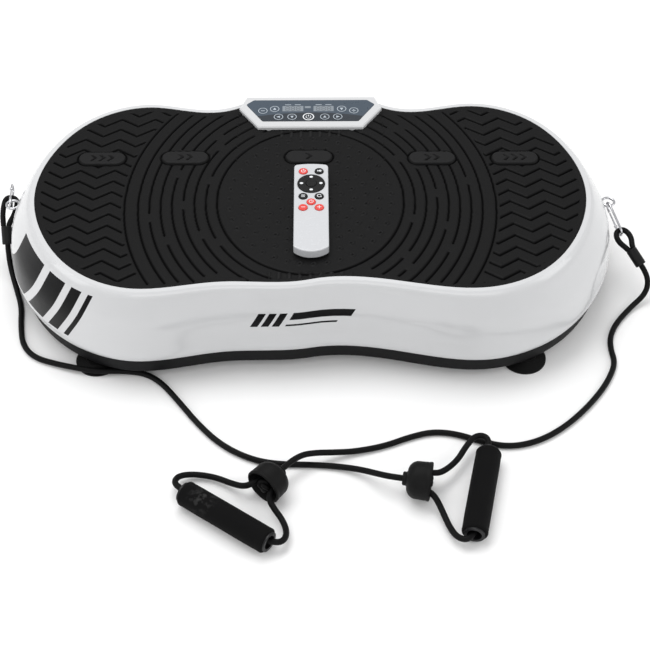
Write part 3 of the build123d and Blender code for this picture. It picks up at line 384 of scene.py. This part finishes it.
def lathe(name, profile, place, look, body, steps=64, wobble=0.0):
    """Turns a closed profile of (radius, height) about the local z axis of place."""
    points, faces = [], []
    count = len(profile)
    for i in range(steps):
        angle = 2 * math.pi * i / steps
        for radius, height in profile:
            r = radius * (1 + wobble * math.sin(3 * angle + 40 * height) * math.sin(90 * height))
            points.append(place @ Vector((r * math.cos(angle), r * math.sin(angle), height)))
        for j in range(count):
            k, ahead = (j + 1) % count, (i + 1) % steps
            faces.append((i * count + j, i * count + k, ahead * count + k, ahead * count + j))
    return new_mesh(name, points, faces, look, body)


# ---------------------------------------------------------------- cords
CORD_R = 0.0036
LEFT_CORD = [
    (-0.397, 0.008, 0.039), (-0.396, -0.003, 0.027), (-0.392, -0.018, 0.015), (-0.384, -0.040, 0.006),
    (-0.373, -0.072, 0.0036), (-0.369, -0.108, 0.0036), (-0.362, -0.140, 0.0036), (-0.345, -0.161, 0.0036),
    (-0.319, -0.172, 0.0045), (-0.292, -0.182, 0.0075), (-0.264, -0.189, 0.008), (-0.234, -0.187, 0.0065),
    (-0.206, -0.188, 0.0036), (-0.184, -0.203, 0.0036), (-0.160, -0.235, 0.0036), (-0.134, -0.272, 0.0036),
    (-0.106, -0.303, 0.0036), (-0.072, -0.324, 0.0036), (-0.040, -0.332, 0.0036), (0.004, -0.333, 0.0036),
    (0.036, -0.337, 0.0045), (0.058, -0.345, 0.009), (0.075, -0.356, 0.016), (0.090, -0.3656, 0.0225),
    (0.104, -0.368, 0.0225),
]
RIGHT_CORD = [
    (0.425, -0.040, 0.042), (0.4315, -0.0485, 0.0355), (0.4345, -0.057, 0.023), (0.429, -0.065, 0.011),
    (0.412, -0.078, 0.0045), (0.388, -0.107, 0.0036), (0.377, -0.131, 0.0036), (0.375, -0.152, 0.0036),
    (0.377, -0.172, 0.0036), (0.371, -0.191, 0.0036), (0.356, -0.218, 0.0036), (0.329, -0.252, 0.0036),
    (0.296, -0.283, 0.0036), (0.263, -0.302, 0.0036), (0.230, -0.308, 0.0036), (0.199, -0.299, 0.0036),
    (0.173, -0.288, 0.0036), (0.145, -0.284, 0.0036), (0.117, -0.292, 0.0036), (0.086, -0.306, 0.0036),
    (0.050, -0.315, 0.005), (0.025, -0.320, 0.010), (0.005, -0.326, 0.017), (-0.011, -0.333, 0.022),
    (-0.0257, -0.345, 0.0225), (-0.034, -0.355, 0.0225),
]
LEFT_LOOP = [
    (-0.0527, -0.3625, 0.023), (-0.0643, -0.3727, 0.022), (-0.076, -0.374, 0.016), (-0.091, -0.364, 0.009),
    (-0.110, -0.353, 0.0065), (-0.131, -0.3485, 0.0065), (-0.147, -0.351, 0.009), (-0.155, -0.358, 0.012),
    (-0.1555, -0.368, 0.0145), (-0.1482, -0.3751, 0.015), (-0.1322, -0.3924, 0.015),
    (-0.1122, -0.4022, 0.015), (-0.0779, -0.4264, 0.015), (-0.0621, -0.4423, 0.015),
    (-0.0403, -0.4503, 0.015), (-0.0315, -0.448, 0.0135), (-0.0275, -0.4385, 0.011), (-0.028, -0.427, 0.009),
    (-0.033, -0.414, 0.009), (-0.041, -0.404, 0.013), (-0.047, -0.395, 0.018), (-0.046, -0.387, 0.022),
    (-0.038, -0.3746, 0.023),
]
RIGHT_LOOP = [
    (0.1238, -0.3624, 0.024), (0.1385, -0.3618, 0.024), (0.147, -0.3595, 0.021), (0.158, -0.350, 0.018),
    (0.170, -0.336, 0.0165), (0.180, -0.318, 0.017), (0.191, -0.3035, 0.018), (0.2015, -0.302, 0.018),
    (0.2075, -0.308, 0.017), (0.2061, -0.3177, 0.0155), (0.2054, -0.3411, 0.015), (0.199, -0.363, 0.015),
    (0.190, -0.399, 0.015), (0.187, -0.4251, 0.015), (0.1762, -0.4457, 0.015), (0.167, -0.446, 0.0125),
    (0.1595, -0.4375, 0.0095), (0.154, -0.424, 0.0075), (0.149, -0.408, 0.008), (0.144, -0.396, 0.012),
    (0.139, -0.389, 0.017), (0.133, -0.385, 0.020), (0.1208, -0.3803, 0.021),
]


def spline_length(obj):
    """Length of a wire's line, measured on the curve with no bevel."""
    depth, obj.data.bevel_depth = obj.data.bevel_depth, 0.0
    line = bpy.data.meshes.new_from_object(obj)
    obj.data.bevel_depth = depth
    places = [v.co.copy() for v in line.vertices]
    bpy.data.meshes.remove(line)
    return sum((b - a).length for a, b in zip(places, places[1:]))


def lay_cord(name, route, node, with_pieces=()):
    """A free cord along its route; its length is measured but not kept."""
    obj = new_curve(name, route, CORD_R, "cord_black", "base")
    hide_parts(node)
    spline_length(obj)
    return obj


# ---------------------------------------------------------------- mat
MAT_STEP = 0.0012
ARC_RATIO = 1.167           # the arcs' height over their width
ARC_MIDDLE = -0.013
INNER = 0.117               # innermost arc, half its width
ARC_PITCH = 0.014
ARCS = 8
BAND = 0.232
ROW_PITCH = 0.021
ROW_START = 0.142
WAVE = 0.044
WAVE_HEIGHT = 0.0075
WAVE_PEAK = 0.250
PLAQUE = (0.030, 0.012)     # half length and half width
# Each plaque's middle, and how many chevrons it carries.
PLAQUES = [
    (-0.269, 0.0675, 3), (-0.162, 0.0688, 2), (-0.002, 0.0698, 1), (0.157, 0.0666, 2), (0.264, 0.0659, 3),
]


def mat_edges():
    """The mat's front and rear edge over x, from the boundary of the CAD mat's top face."""
    data = nodes["rubber_mat"].data
    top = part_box("rubber_mat")[1].z
    places = np.array([v.co for v in data.vertices], float)
    high = places[:, 2] > top - 1e-5
    seen = {}
    for polygon in data.polygons:
        corners = list(polygon.vertices)
        if all(high[c] for c in corners):
            for a, b in zip(corners, corners[1:] + corners[:1]):
                key = tuple(sorted((tuple(np.round(places[a][:2], 6)), tuple(np.round(places[b][:2], 6)))))
                seen[key] = seen.get(key, 0) + 1
    return [key for key, count in seen.items() if count == 1]


def edge_at(segments, xs, pick):
    """Lowest or highest y of the outline at each x."""
    result = np.full(len(xs), -pick * 9.0)
    for (ax, ay), (bx, by) in segments:
        low, high = min(ax, bx), max(ax, bx)
        hit = (xs >= low) & (xs <= high)
        if high - low < 1e-7:
            continue
        y = ay + (xs - ax) * (by - ay) / (bx - ax)
        better = hit & (pick * y > pick * result)
        result[better] = y[better]
    return result


def bowl(distance, half_width):
    """1 on a line and 0 from half_width away, round in between."""
    share = np.clip(1 - (distance / half_width) ** 2, 0, 1)
    return share * share * (3 - 2 * share)


def step(value, soft=0.0008):
    """0 below nought and 1 above soft."""
    share = np.clip(value / soft, 0, 1)
    return share * share * (3 - 2 * share)


def mat_height(x, y, margin):
    """Height of the moulded pattern above the mat's field. margin is the distance to the mat's edge."""
    across = np.abs(x)
    tall = (y - ARC_MIDDLE) / ARC_RATIO
    reach = np.hypot(x, tall)
    angle = np.arctan2(tall, x)
    height = np.zeros_like(x)
    # zigzag rows in the two end lobes
    phase = np.abs((across - WAVE_PEAK) / WAVE + 0.5 - np.floor((across - WAVE_PEAK) / WAVE + 0.5) - 0.5)
    zigzag = WAVE_HEIGHT * (1 - 4 * phase)
    row = (ROW_START - (y - zigzag)) / ROW_PITCH
    off = np.abs(row - np.round(row)) * ROW_PITCH * 0.83
    lobes = step(reach - BAND - 0.004) * step(margin - 0.008)
    height -= GROOVE * bowl(off, 0.0021) * lobes
    # broken arcs, and the band that closes them
    ring = (reach - INNER) / ARC_PITCH
    index = np.clip(np.round(ring), 0, ARCS - 1)
    off = np.abs(ring - index) * ARC_PITCH
    breaks = 6 + 2 * (index % 2)
    turn = angle / (2 * math.pi) * breaks + 0.31 * index
    gap = np.abs(turn - np.round(turn)) * 2 * math.pi * reach / breaks
    whole = np.maximum((index == 0) | (index == ARCS - 1), step(gap - 0.006))
    height -= GROOVE * bowl(off, 0.0017) * whole * step(margin - 0.007)
    height -= GROOVE * bowl(np.abs(reach - BAND), 0.0016) * step(margin - 0.007)
    # rings of dots in the middle
    dot_ring = np.round((INNER - reach) / 0.0155)
    radius = INNER - dot_ring * 0.0155
    number = np.maximum(np.round(2 * math.pi * radius / 0.0165), 1)
    turn = angle / (2 * math.pi) * number + 0.5 * (dot_ring % 2)
    along = np.abs(turn - np.round(turn)) * 2 * math.pi * reach / number
    away = np.hypot(along, reach - radius)
    dots = RISE * bowl(away, 0.0040) - (RISE + GROOVE * 0.7) * bowl(away, 0.0019)
    height += dots * (dot_ring >= 1) * (radius > 0.004)
    # short bars before the panel and at the front edge
    for line, reach_x in ((0.1165, 0.045), (-0.1515, 0.050)):
        bar = np.round(x / 0.0125)
        off = np.abs(x - bar * 0.0125)
        bars = bowl(off, 0.0026) * step(0.0062 - np.abs(y - line)) * (np.abs(x) < reach_x)
        height += RISE * bars * step(margin - 0.004)
    # smooth raised plaques with sunk chevrons
    for px, py, count in PLAQUES:
        dx, dy = x - px, y - py
        body = np.hypot(np.maximum(np.abs(dx) - (PLAQUE[0] - PLAQUE[1]), 0), dy)
        flat = step(PLAQUE[1] - body)
        surround = step(PLAQUE[1] + 0.003 - body)
        height = height * (1 - surround) + RISE * flat
        height -= GROOVE * bowl(np.abs(body - PLAQUE[1] - 0.0014), 0.0015)
        for i in range(count):
            nose = dx - (i - (count - 1) / 2) * 0.011 - 0.003 + np.abs(dy)
            chevron = step(0.0018 - np.abs(nose), 0.0005) * step(0.0062 - np.abs(dy), 0.0005)
            height -= (RISE + GROOVE * 0.4) * chevron
    # a low bead along the edge
    height += 0.0003 * bowl(np.abs(margin - 0.0035), 0.002)
    return height


def build_mat():
    """The moulded mat as a height field inside the CAD mat's outline."""
    low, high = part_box("rubber_mat")
    segments = mat_edges()
    half = (high.x - low.x) / 2
    middle = (high.x + low.x) / 2
    columns = int(2 * half / MAT_STEP)
    inner = np.linspace(-1, 1, columns)
    # columns crowd together at the steep ends
    xs = middle + half * np.sign(inner) * (1 - (1 - np.abs(inner)) ** 1.25) * 0.9999
    front = edge_at(segments, xs, -1)
    rear = edge_at(segments, xs, 1)
    rows = int((high.y - low.y) / MAT_STEP)
    share = np.linspace(0, 1, rows)
    x = np.repeat(xs[:, None], rows, 1)
    y = front[:, None] + (rear - front)[:, None] * share[None, :]
    outline = np.array([a for a, b in segments] + [b for a, b in segments])
    margin = np.full(x.shape, 9.0)
    coarse = outline[:: max(1, len(outline) // 400)]
    for ox, oy in coarse:
        margin = np.minimum(margin, np.hypot(x - ox, y - oy))
    z = high.z - RISE + mat_height(x, y, margin)
    field = np.stack([x, y, z], -1).reshape(-1, 3)
    grid = np.arange(columns * rows).reshape(columns, rows)
    quads = np.stack([grid[:-1, :-1], grid[1:, :-1], grid[1:, 1:], grid[:-1, 1:]], -1).reshape(-1, 4)
    border = list(grid[:, 0]) + list(grid[-1, 1:]) + list(grid[-2::-1, -1]) + list(grid[0, -2:0:-1])
    skirt = [(field[i][0], field[i][1], low.z) for i in border]
    first = len(field)
    count = len(border)
    walls = [(first + i, first + (i + 1) % count, border[(i + 1) % count], border[i]) for i in range(count)]
    points = np.concatenate([field, np.array(skirt)])
    mat = new_mesh("moulded_mat", points, quads.tolist() + walls, "mat_rubber", "deck")
    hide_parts("rubber_mat")
    return mat


build_mat()


# ---------------------------------------------------------------- foam grips
GRIPS = {
    "left": ((-0.1455, -0.380, 0.015), (0.8177, -0.5752, 0.0)),
    "right": ((0.207, -0.323, 0.015), (-0.2205, -0.9754, 0.0)),
}
GRIP_LENGTH = 0.122
FOAM_R = 0.015
TUBE_R = 0.0105
LIP = 0.002


def foam_grip(side, start, direction, look):
    """Foam sleeve, a little fuller in the middle and rounded over at both ends."""
    rounding = 0.0032
    shoulder = FOAM_R - rounding
    first, last = LIP, GRIP_LENGTH - LIP
    profile = [(TUBE_R, first), (shoulder, first)]
    for i in range(1, 7):
        angle = math.pi / 2 * i / 6
        profile.append((shoulder + rounding * math.sin(angle), first + rounding * (1 - math.cos(angle))))
    spans = 28
    for i in range(1, spans):
        t = i / spans
        height = first + rounding + (last - first - 2 * rounding) * t
        profile.append((FOAM_R - 0.0004 * math.cos(2 * math.pi * t) ** 2 * (abs(t - 0.5) * 2) ** 6, height))
    for i in range(0, 6):
        angle = math.pi / 2 * i / 6
        profile.append((shoulder + rounding * math.cos(angle), last - rounding * (1 - math.sin(angle))))
    profile += [(shoulder, last), (TUBE_R, last)]
    grip = lathe(f"foam_{side}", profile, axis_frame(start, direction), look, f"{side}_handle", 72, 0.004)
    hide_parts(f"{side}_foam_grip")
    return grip


LOOKS["foam_scuffed"] = foam_material("foam_scuffed", ((-0.122, -0.400, 0.028), 0.020))
foam_grip("left", *GRIPS["left"], "foam_scuffed")
foam_grip("right", *GRIPS["right"], "foam_black")


# ---------------------------------------------------------------- snap hooks, gates and eye loops
RING = (0.3885, 0.040, 0.080)
HOOK_R = 0.0015
GATE_R = 0.0011
HOOK_ENDS = {
    "right": (1, (-0.002, -0.0015, 0.001), (0.0145, -0.044, -0.0197)),
    "left": (-1, (-0.0025, -0.0045, 0.0), (-0.0075, 0.044, -0.007)),
}
# The hook's wire in millimetres, along and across it, from the gate's hinge round to the gate's tip.
HOOK_LINE = [
    (8, 7), (14, 7), (20, 6.2), (23.5, 3), (23.5, -3), (20, -6.2), (14, -7), (2, -7), (-10, -7),
    (-19, -6.2), (-23.5, -3), (-23.5, 3), (-19, 6.2), (-14.5, 7.2), (-12.8, 7),
]
FERRULE_LENGTH = 0.024
LEG_OFFSET = 0.00365
EYES = {
    "right": (RIGHT_CORD, (0.0118, -0.0372, -0.0164), [(0.42, 0.0088), (0.8, 0.008), (1.0, 0.0036)]),
    "left": (LEFT_CORD, (-0.0040, 0.017, -0.003), [(0.4, 0.008), (1.0, 0.0086)]),
}


def hook_frame(side):
    """Origin and axes of a hook's plane: along it, across it and its normal."""
    sign, start, end = HOOK_ENDS[side]
    ring = Vector((sign * RING[0], RING[1], RING[2]))
    along = (Vector(end) - Vector(start)).normalized()
    normal = (Vector((1, 0, 0)) - along * along.x).normalized()
    return ring + (Vector(start) + Vector(end)) / 2, along, normal.cross(along), normal


def snap_hook(side):
    """Round wire hook, its gate and the gate's rivet."""
    middle, along, across, normal = hook_frame(side)

    def place(u, v):
        return middle + along * u * MM + across * v * MM

    hook = new_curve(f"hook_{side}", [place(u, v) for u, v in HOOK_LINE], HOOK_R, "hook_chrome", "base")
    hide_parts(f"{side}_snap_hook")
    gate = new_curve(f"gate_{side}", [place(7.6, 7), place(0, 7.2), place(-11.6, 7)], GATE_R, "hook_chrome",
                     f"{side}_gate")
    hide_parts(f"{side}_hook_gate")
    half = [(0.0, 0.0021), (0.0012, 0.0021), (0.0016, 0.0017)]
    profile = [(radius, -height) for radius, height in half] + half[::-1]
    lathe(f"gate_rivet_{side}", profile, axis_frame(place(8, 7), normal), "hook_chrome", "base", 20)


def eye_route(side):
    """Teardrop of the cord's eye, from the ferrule's face through the hook and back."""
    route, tip, steps = EYES[side]
    sign = HOOK_ENDS[side][0]
    normal = hook_frame(side)[3]
    first, second = Vector(route[0]), Vector(route[1])
    axis = (first - second).normalized()
    base = first + axis * FERRULE_LENGTH
    flat = (normal - axis * axis.dot(normal)).normalized()
    neck = base + axis * 0.003
    reach = Vector((sign * RING[0], RING[1], RING[2])) + Vector(tip) - neck
    out = reach.normalized()
    across = (normal - out * out.dot(normal)).normalized()
    half = [base + flat * LEG_OFFSET, neck + flat * LEG_OFFSET]
    half += [neck + reach * t + across * s for t, s in steps]
    other = [neck + reach * t - across * s for t, s in reversed(steps)]
    return half + other + [neck - flat * LEG_OFFSET, base - flat * LEG_OFFSET]


for side in EYES:
    snap_hook(side)
    route = eye_route(side)
    loop = new_curve(f"eye_loop_{side}", route, CORD_R, "cord_black", "base")
    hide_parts(f"{side}_eye_loop")
    spline_length(loop)


# ---------------------------------------------------------------- bells and knots
BELL_R = 0.0225
BELL_COLLAR = (0.008, 0.005)
BELL_LENGTH = 0.028
BELL_WALL = 0.003
BELL_WEB = 0.012
KNOT_R = 0.0062


def bell(side, route):
    """Rubber stopper with a beaded mouth, and a knot of the cord inside it."""
    origin = Vector(route[-1])
    direction = (origin - Vector(route[-2])).normalized()
    place = axis_frame(origin, direction)
    collar_r, collar = BELL_COLLAR
    mouth = collar + BELL_LENGTH
    inner = BELL_R - BELL_WALL
    web = collar + BELL_WEB
    profile = [(0.0, 0.0), (collar_r - 0.001, 0.0), (collar_r, 0.001), (collar_r, collar - 0.001)]
    for i in range(0, 11):
        angle = math.pi / 2 * i / 10
        profile.append((collar_r + 0.001 + (BELL_R - collar_r - 0.0018) * math.sin(angle),
                        collar + 0.012 * (1 - math.cos(angle))))
    profile += [(BELL_R - 0.0004, mouth - 0.006), (BELL_R - 0.0006, mouth - 0.0045), (BELL_R, mouth - 0.0035)]
    profile += [(BELL_R, mouth - 0.001), (BELL_R - 0.001, mouth)]
    profile += [(inner + 0.001, mouth), (inner, mouth - 0.001)]
    profile += [(inner - 0.0005, web + 0.002), (inner - 0.0025, web), (0.0, web)]
    cup = lathe(f"bell_{side}", profile, place, "foot_rubber", "base", 72)
    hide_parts(f"{side}_bell")
    knot = []
    for i in range(26):
        t = 2 * math.pi * i / 26
        swing = KNOT_R - 0.0018 + 0.0018 * math.cos(3 * t)
        knot.append(place @ Vector((swing * math.cos(2 * t), swing * math.sin(2 * t),
                                    mouth - 0.0035 + 0.0026 * math.sin(3 * t))))
    wound = new_curve(f"knot_{side}", knot, CORD_R * 0.86, "cord_black", "base", cyclic=True)
    wound.parent = cup
    wound.matrix_parent_inverse = cup.matrix_world.inverted()
    return cup


lay_cord("pull_cord_left", LEFT_CORD, "left_cord", [bell("right", LEFT_CORD)])
lay_cord("pull_cord_right", RIGHT_CORD, "right_cord", [bell("left", RIGHT_CORD)])
lay_cord("handle_loop_left", LEFT_LOOP, "left_loop_cord")
lay_cord("handle_loop_right", RIGHT_LOOP, "right_loop_cord")


# ---------------------------------------------------------------- printed marks
class Marks:
    """Flat printed shapes at one height, gathered into one mesh."""

    def __init__(self, z):
        self.z = z
        self.points = []
        self.faces = []

    def shape(self, outline):
        first = len(self.points)
        self.points += [(x, y, self.z) for x, y in outline]
        self.faces.append(tuple(range(first, first + len(outline))))

    def ring(self, x, y, outer, inner, start=0.0, end=360.0):
        steps = 40
        angles = [math.radians(start + (end - start) * i / steps) for i in range(steps + 1)]
        for a, b in zip(angles, angles[1:]):
            self.shape([(x + inner * math.cos(a), y + inner * math.sin(a)),
                        (x + outer * math.cos(a), y + outer * math.sin(a)),
                        (x + outer * math.cos(b), y + outer * math.sin(b)),
                        (x + inner * math.cos(b), y + inner * math.sin(b))])

    def disc(self, x, y, radius, squeeze=1.0):
        steps = 28
        turns = [2 * math.pi * i / steps for i in range(steps)]
        self.shape([(x + radius * math.cos(t), y + radius * squeeze * math.sin(t)) for t in turns])

    def bar(self, x, y, width, height):
        w, h = width / 2, height / 2
        self.shape([(x - w, y - h), (x + w, y - h), (x + w, y + h), (x - w, y + h)])

    def arrow(self, x, y, size, turn):
        corners = []
        for angle in (0, 130, 230):
            t = math.radians(angle + turn)
            corners.append((x + size * math.cos(t), y + size * math.sin(t)))
        self.shape(corners)

    def finish(self, name, look, body):
        return new_mesh(name, self.points, self.faces, look, body, smooth=False)


PRINT_LIFT = 0.00012        # printed marks above the film they are printed on
TOUCH_R = 0.0062
TOUCH_LINE = 0.0009
MINUS_TOUCH = (-0.0635, 0.1600)
UP_TOUCH = (-0.0478, 0.1638)
DOWN_TOUCH = (0.0416, 0.1638)
PLUS_TOUCH = (0.0578, 0.1600)
LOWER_ROW = 0.1468
LOWER_TOUCHES = ((-0.0425, 180), (-0.0245, 270), (0.0190, 90), (0.0362, 0))
START_X = -0.0027
CAPTION_Y = 0.1727
CAPTIONS = (-0.030, -0.017, 0.011, 0.024)
DISPLAYS = (-0.0235, 0.0175)
DIGIT_PITCH = 0.0072
DIGIT = (0.0034, 0.0032, 0.0007)        # length of a level and of an upright segment, and their width
DIGIT_LEVELS = (0.1605, 0.1648, 0.1691)
DIGIT_HALF = 0.0023


def mark_panel():
    """Touch keys with arrows and signs, bars in place of captions, and the bright start key."""
    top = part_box("panel_overlay")[1].z
    panel = Marks(top + PRINT_LIFT)
    bright = Marks(top + PRINT_LIFT + 0.00002)
    for x, y in (MINUS_TOUCH, UP_TOUCH, DOWN_TOUCH, PLUS_TOUCH):
        panel.ring(x, y, TOUCH_R, TOUCH_R - TOUCH_LINE)
    for x, _ in LOWER_TOUCHES:
        panel.ring(x, LOWER_ROW, TOUCH_R, TOUCH_R - TOUCH_LINE)
    bright.ring(START_X, LOWER_ROW, 0.0076, 0.0062)
    bright.ring(START_X, LOWER_ROW - 0.0002, 0.0036, 0.0028, 125, 415)
    bright.bar(START_X, LOWER_ROW + 0.0024, 0.0009, 0.0036)
    panel.bar(*MINUS_TOUCH, 0.0052, 0.0012)
    panel.arrow(*UP_TOUCH, 0.0032, 90)
    panel.arrow(*DOWN_TOUCH, 0.0032, 270)
    panel.bar(*PLUS_TOUCH, 0.0052, 0.0012)
    panel.bar(*PLUS_TOUCH, 0.0012, 0.0052)
    for x, turn in LOWER_TOUCHES:
        panel.arrow(x, LOWER_ROW, 0.0030, turn)
    for x in CAPTIONS:
        panel.bar(x, CAPTION_Y, 0.0082, 0.0011)
    panel.finish("panel_marks", "mark_grey", "deck")
    bright.finish("panel_start_mark", "mark_white", "deck")


def mark_displays():
    """Unlit segments of three digits in each display."""
    segments = Marks(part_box("display_windows")[1].z + 0.00010)
    level, upright, width = DIGIT
    for middle in DISPLAYS:
        for x in (-DIGIT_PITCH, 0.0, DIGIT_PITCH):
            for y in DIGIT_LEVELS:
                segments.bar(middle + x, y, level, width)
            for dx in (-DIGIT_HALF, DIGIT_HALF):
                for low, high in zip(DIGIT_LEVELS, DIGIT_LEVELS[1:]):
                    segments.bar(middle + x + dx, (low + high) / 2, width, upright)
    segments.finish("display_segments", "mark_dim", "deck")


mark_panel()
mark_displays()
KEY_SIGNS = (("mode", "bars"), ("auto", "ring"), ("timer", "clock"), ("slow", "minus"), ("fast", "plus"))


def key_mark(body, z, draw, look="mark_white"):
    marks = Marks(z)
    draw(marks)
    return marks.finish(f"mark_{body}", look, body)


def centre(node):
    low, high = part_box(node)
    return (low.x + high.x) / 2, (low.y + high.y) / 2, high.z + 0.00008


def mark_keys():
    """White generic signs on the remote's keys."""
    x, y, z = centre("remote_key_power")

    def power(m):
        m.ring(x, y - 0.0002, 0.0029, 0.0021, 125, 415)
        m.bar(x, y + 0.0018, 0.0008, 0.0034)

    key_mark("key_power", z, power)
    x2, y2, z2 = centre("remote_key_mute")

    def mute(m):
        m.bar(x2 - 0.0017, y2, 0.0016, 0.0024)
        m.arrow(x2 + 0.0002, y2, 0.0026, 180)
        m.ring(x2 + 0.0004, y2, 0.0026, 0.0020, -50, 50)

    key_mark("key_mute", z2, mute)
    for key, sign in KEY_SIGNS:
        kx, ky, kz = centre(f"remote_key_{key}")

        def sign_on(m):
            if sign == "bars":
                for i in (-1, 0, 1):
                    m.bar(kx, ky + i * 0.0018, 0.0046, 0.0007)
            elif sign == "ring":
                m.ring(kx, ky, 0.0028, 0.0020, 30, 330)
                m.arrow(kx + 0.0024, ky - 0.0012, 0.0013, 290)
            elif sign == "clock":
                m.ring(kx, ky, 0.0029, 0.0022)
                m.bar(kx, ky + 0.0009, 0.0006, 0.0018)
                m.bar(kx + 0.0006, ky, 0.0014, 0.0006)
            else:
                m.bar(kx, ky, 0.0052, 0.0009)
                if sign == "plus":
                    m.bar(kx, ky + 0.0016, 0.0009, 0.0020)
                    m.bar(kx, ky - 0.0016, 0.0009, 0.0020)

        key_mark(f"key_{key}", kz, sign_on)
    px, py, pz = centre("remote_pad")

    def pad(m):
        for turn in (0, 90, 180, 270):
            t = math.radians(turn)
            m.disc(px + 0.0122 * math.cos(t), py + 0.0122 * math.sin(t), 0.0022, 0.8)

    key_mark("pad", pz, pad)
    cx, cy, cz = centre("remote_pad_centre")

    def middle(m):
        m.ring(cx, cy, 0.0052, 0.0040)
        m.arrow(cx + 0.0003, cy, 0.0024, 0)

    key_mark("pad_centre", cz, middle, "key_black")


mark_keys()


# ---------------------------------------------------------------- studio
def area_light(name, place, aim, size, power, colour=(1.0, 1.0, 1.0)):
    data = bpy.data.lights.new(name, "AREA")
    data.shape = "RECTANGLE"
    data.size, data.size_y = size
    data.energy = power
    data.color = colour
    obj = bpy.data.objects.new(name, data)
    obj.matrix_world = axis_frame(place, Vector(place) - Vector(aim))
    bpy.context.scene.collection.objects.link(obj)
    return obj


area_light("key", (-0.4, 0.5, 2.2), (0, 0, 0.05), (2.4, 1.2), 30)
area_light("front", (0.3, -2.4, 1.5), (0, -0.1, 0.05), (2.6, 1.0), 12)
area_light("left_side", (-2.2, -0.5, 1.0), (-0.2, 0, 0.05), (1.2, 1.2), 7)
area_light("right_side", (2.2, -0.4, 1.0), (0.2, 0, 0.05), (1.2, 1.2), 8)

world = bpy.data.worlds.new("studio")
world.use_nodes = True
world.node_tree.nodes["Background"].inputs["Color"].default_value = (1.0, 1.0, 1.0, 1.0)
world.node_tree.nodes["Background"].inputs["Strength"].default_value = 0.66
bpy.context.scene.world = world

FLOOR_REACH = 1.4
floor_data = bpy.data.meshes.new("floor")
floor_data.from_pydata([(-FLOOR_REACH, -FLOOR_REACH, 0), (FLOOR_REACH, -FLOOR_REACH, 0),
                        (FLOOR_REACH, FLOOR_REACH, 0), (-FLOOR_REACH, FLOOR_REACH, 0)], [], [(0, 1, 2, 3)])
floor = bpy.data.objects.new("floor", floor_data)
bpy.context.scene.collection.objects.link(floor)
floor_look = surface("floor_pale", (0.95, 0.95, 0.95), 0.7, spread=0.005, grain=0.0)
floor.data.materials.append(floor_look.material)

bpy.context.view_layer.update()
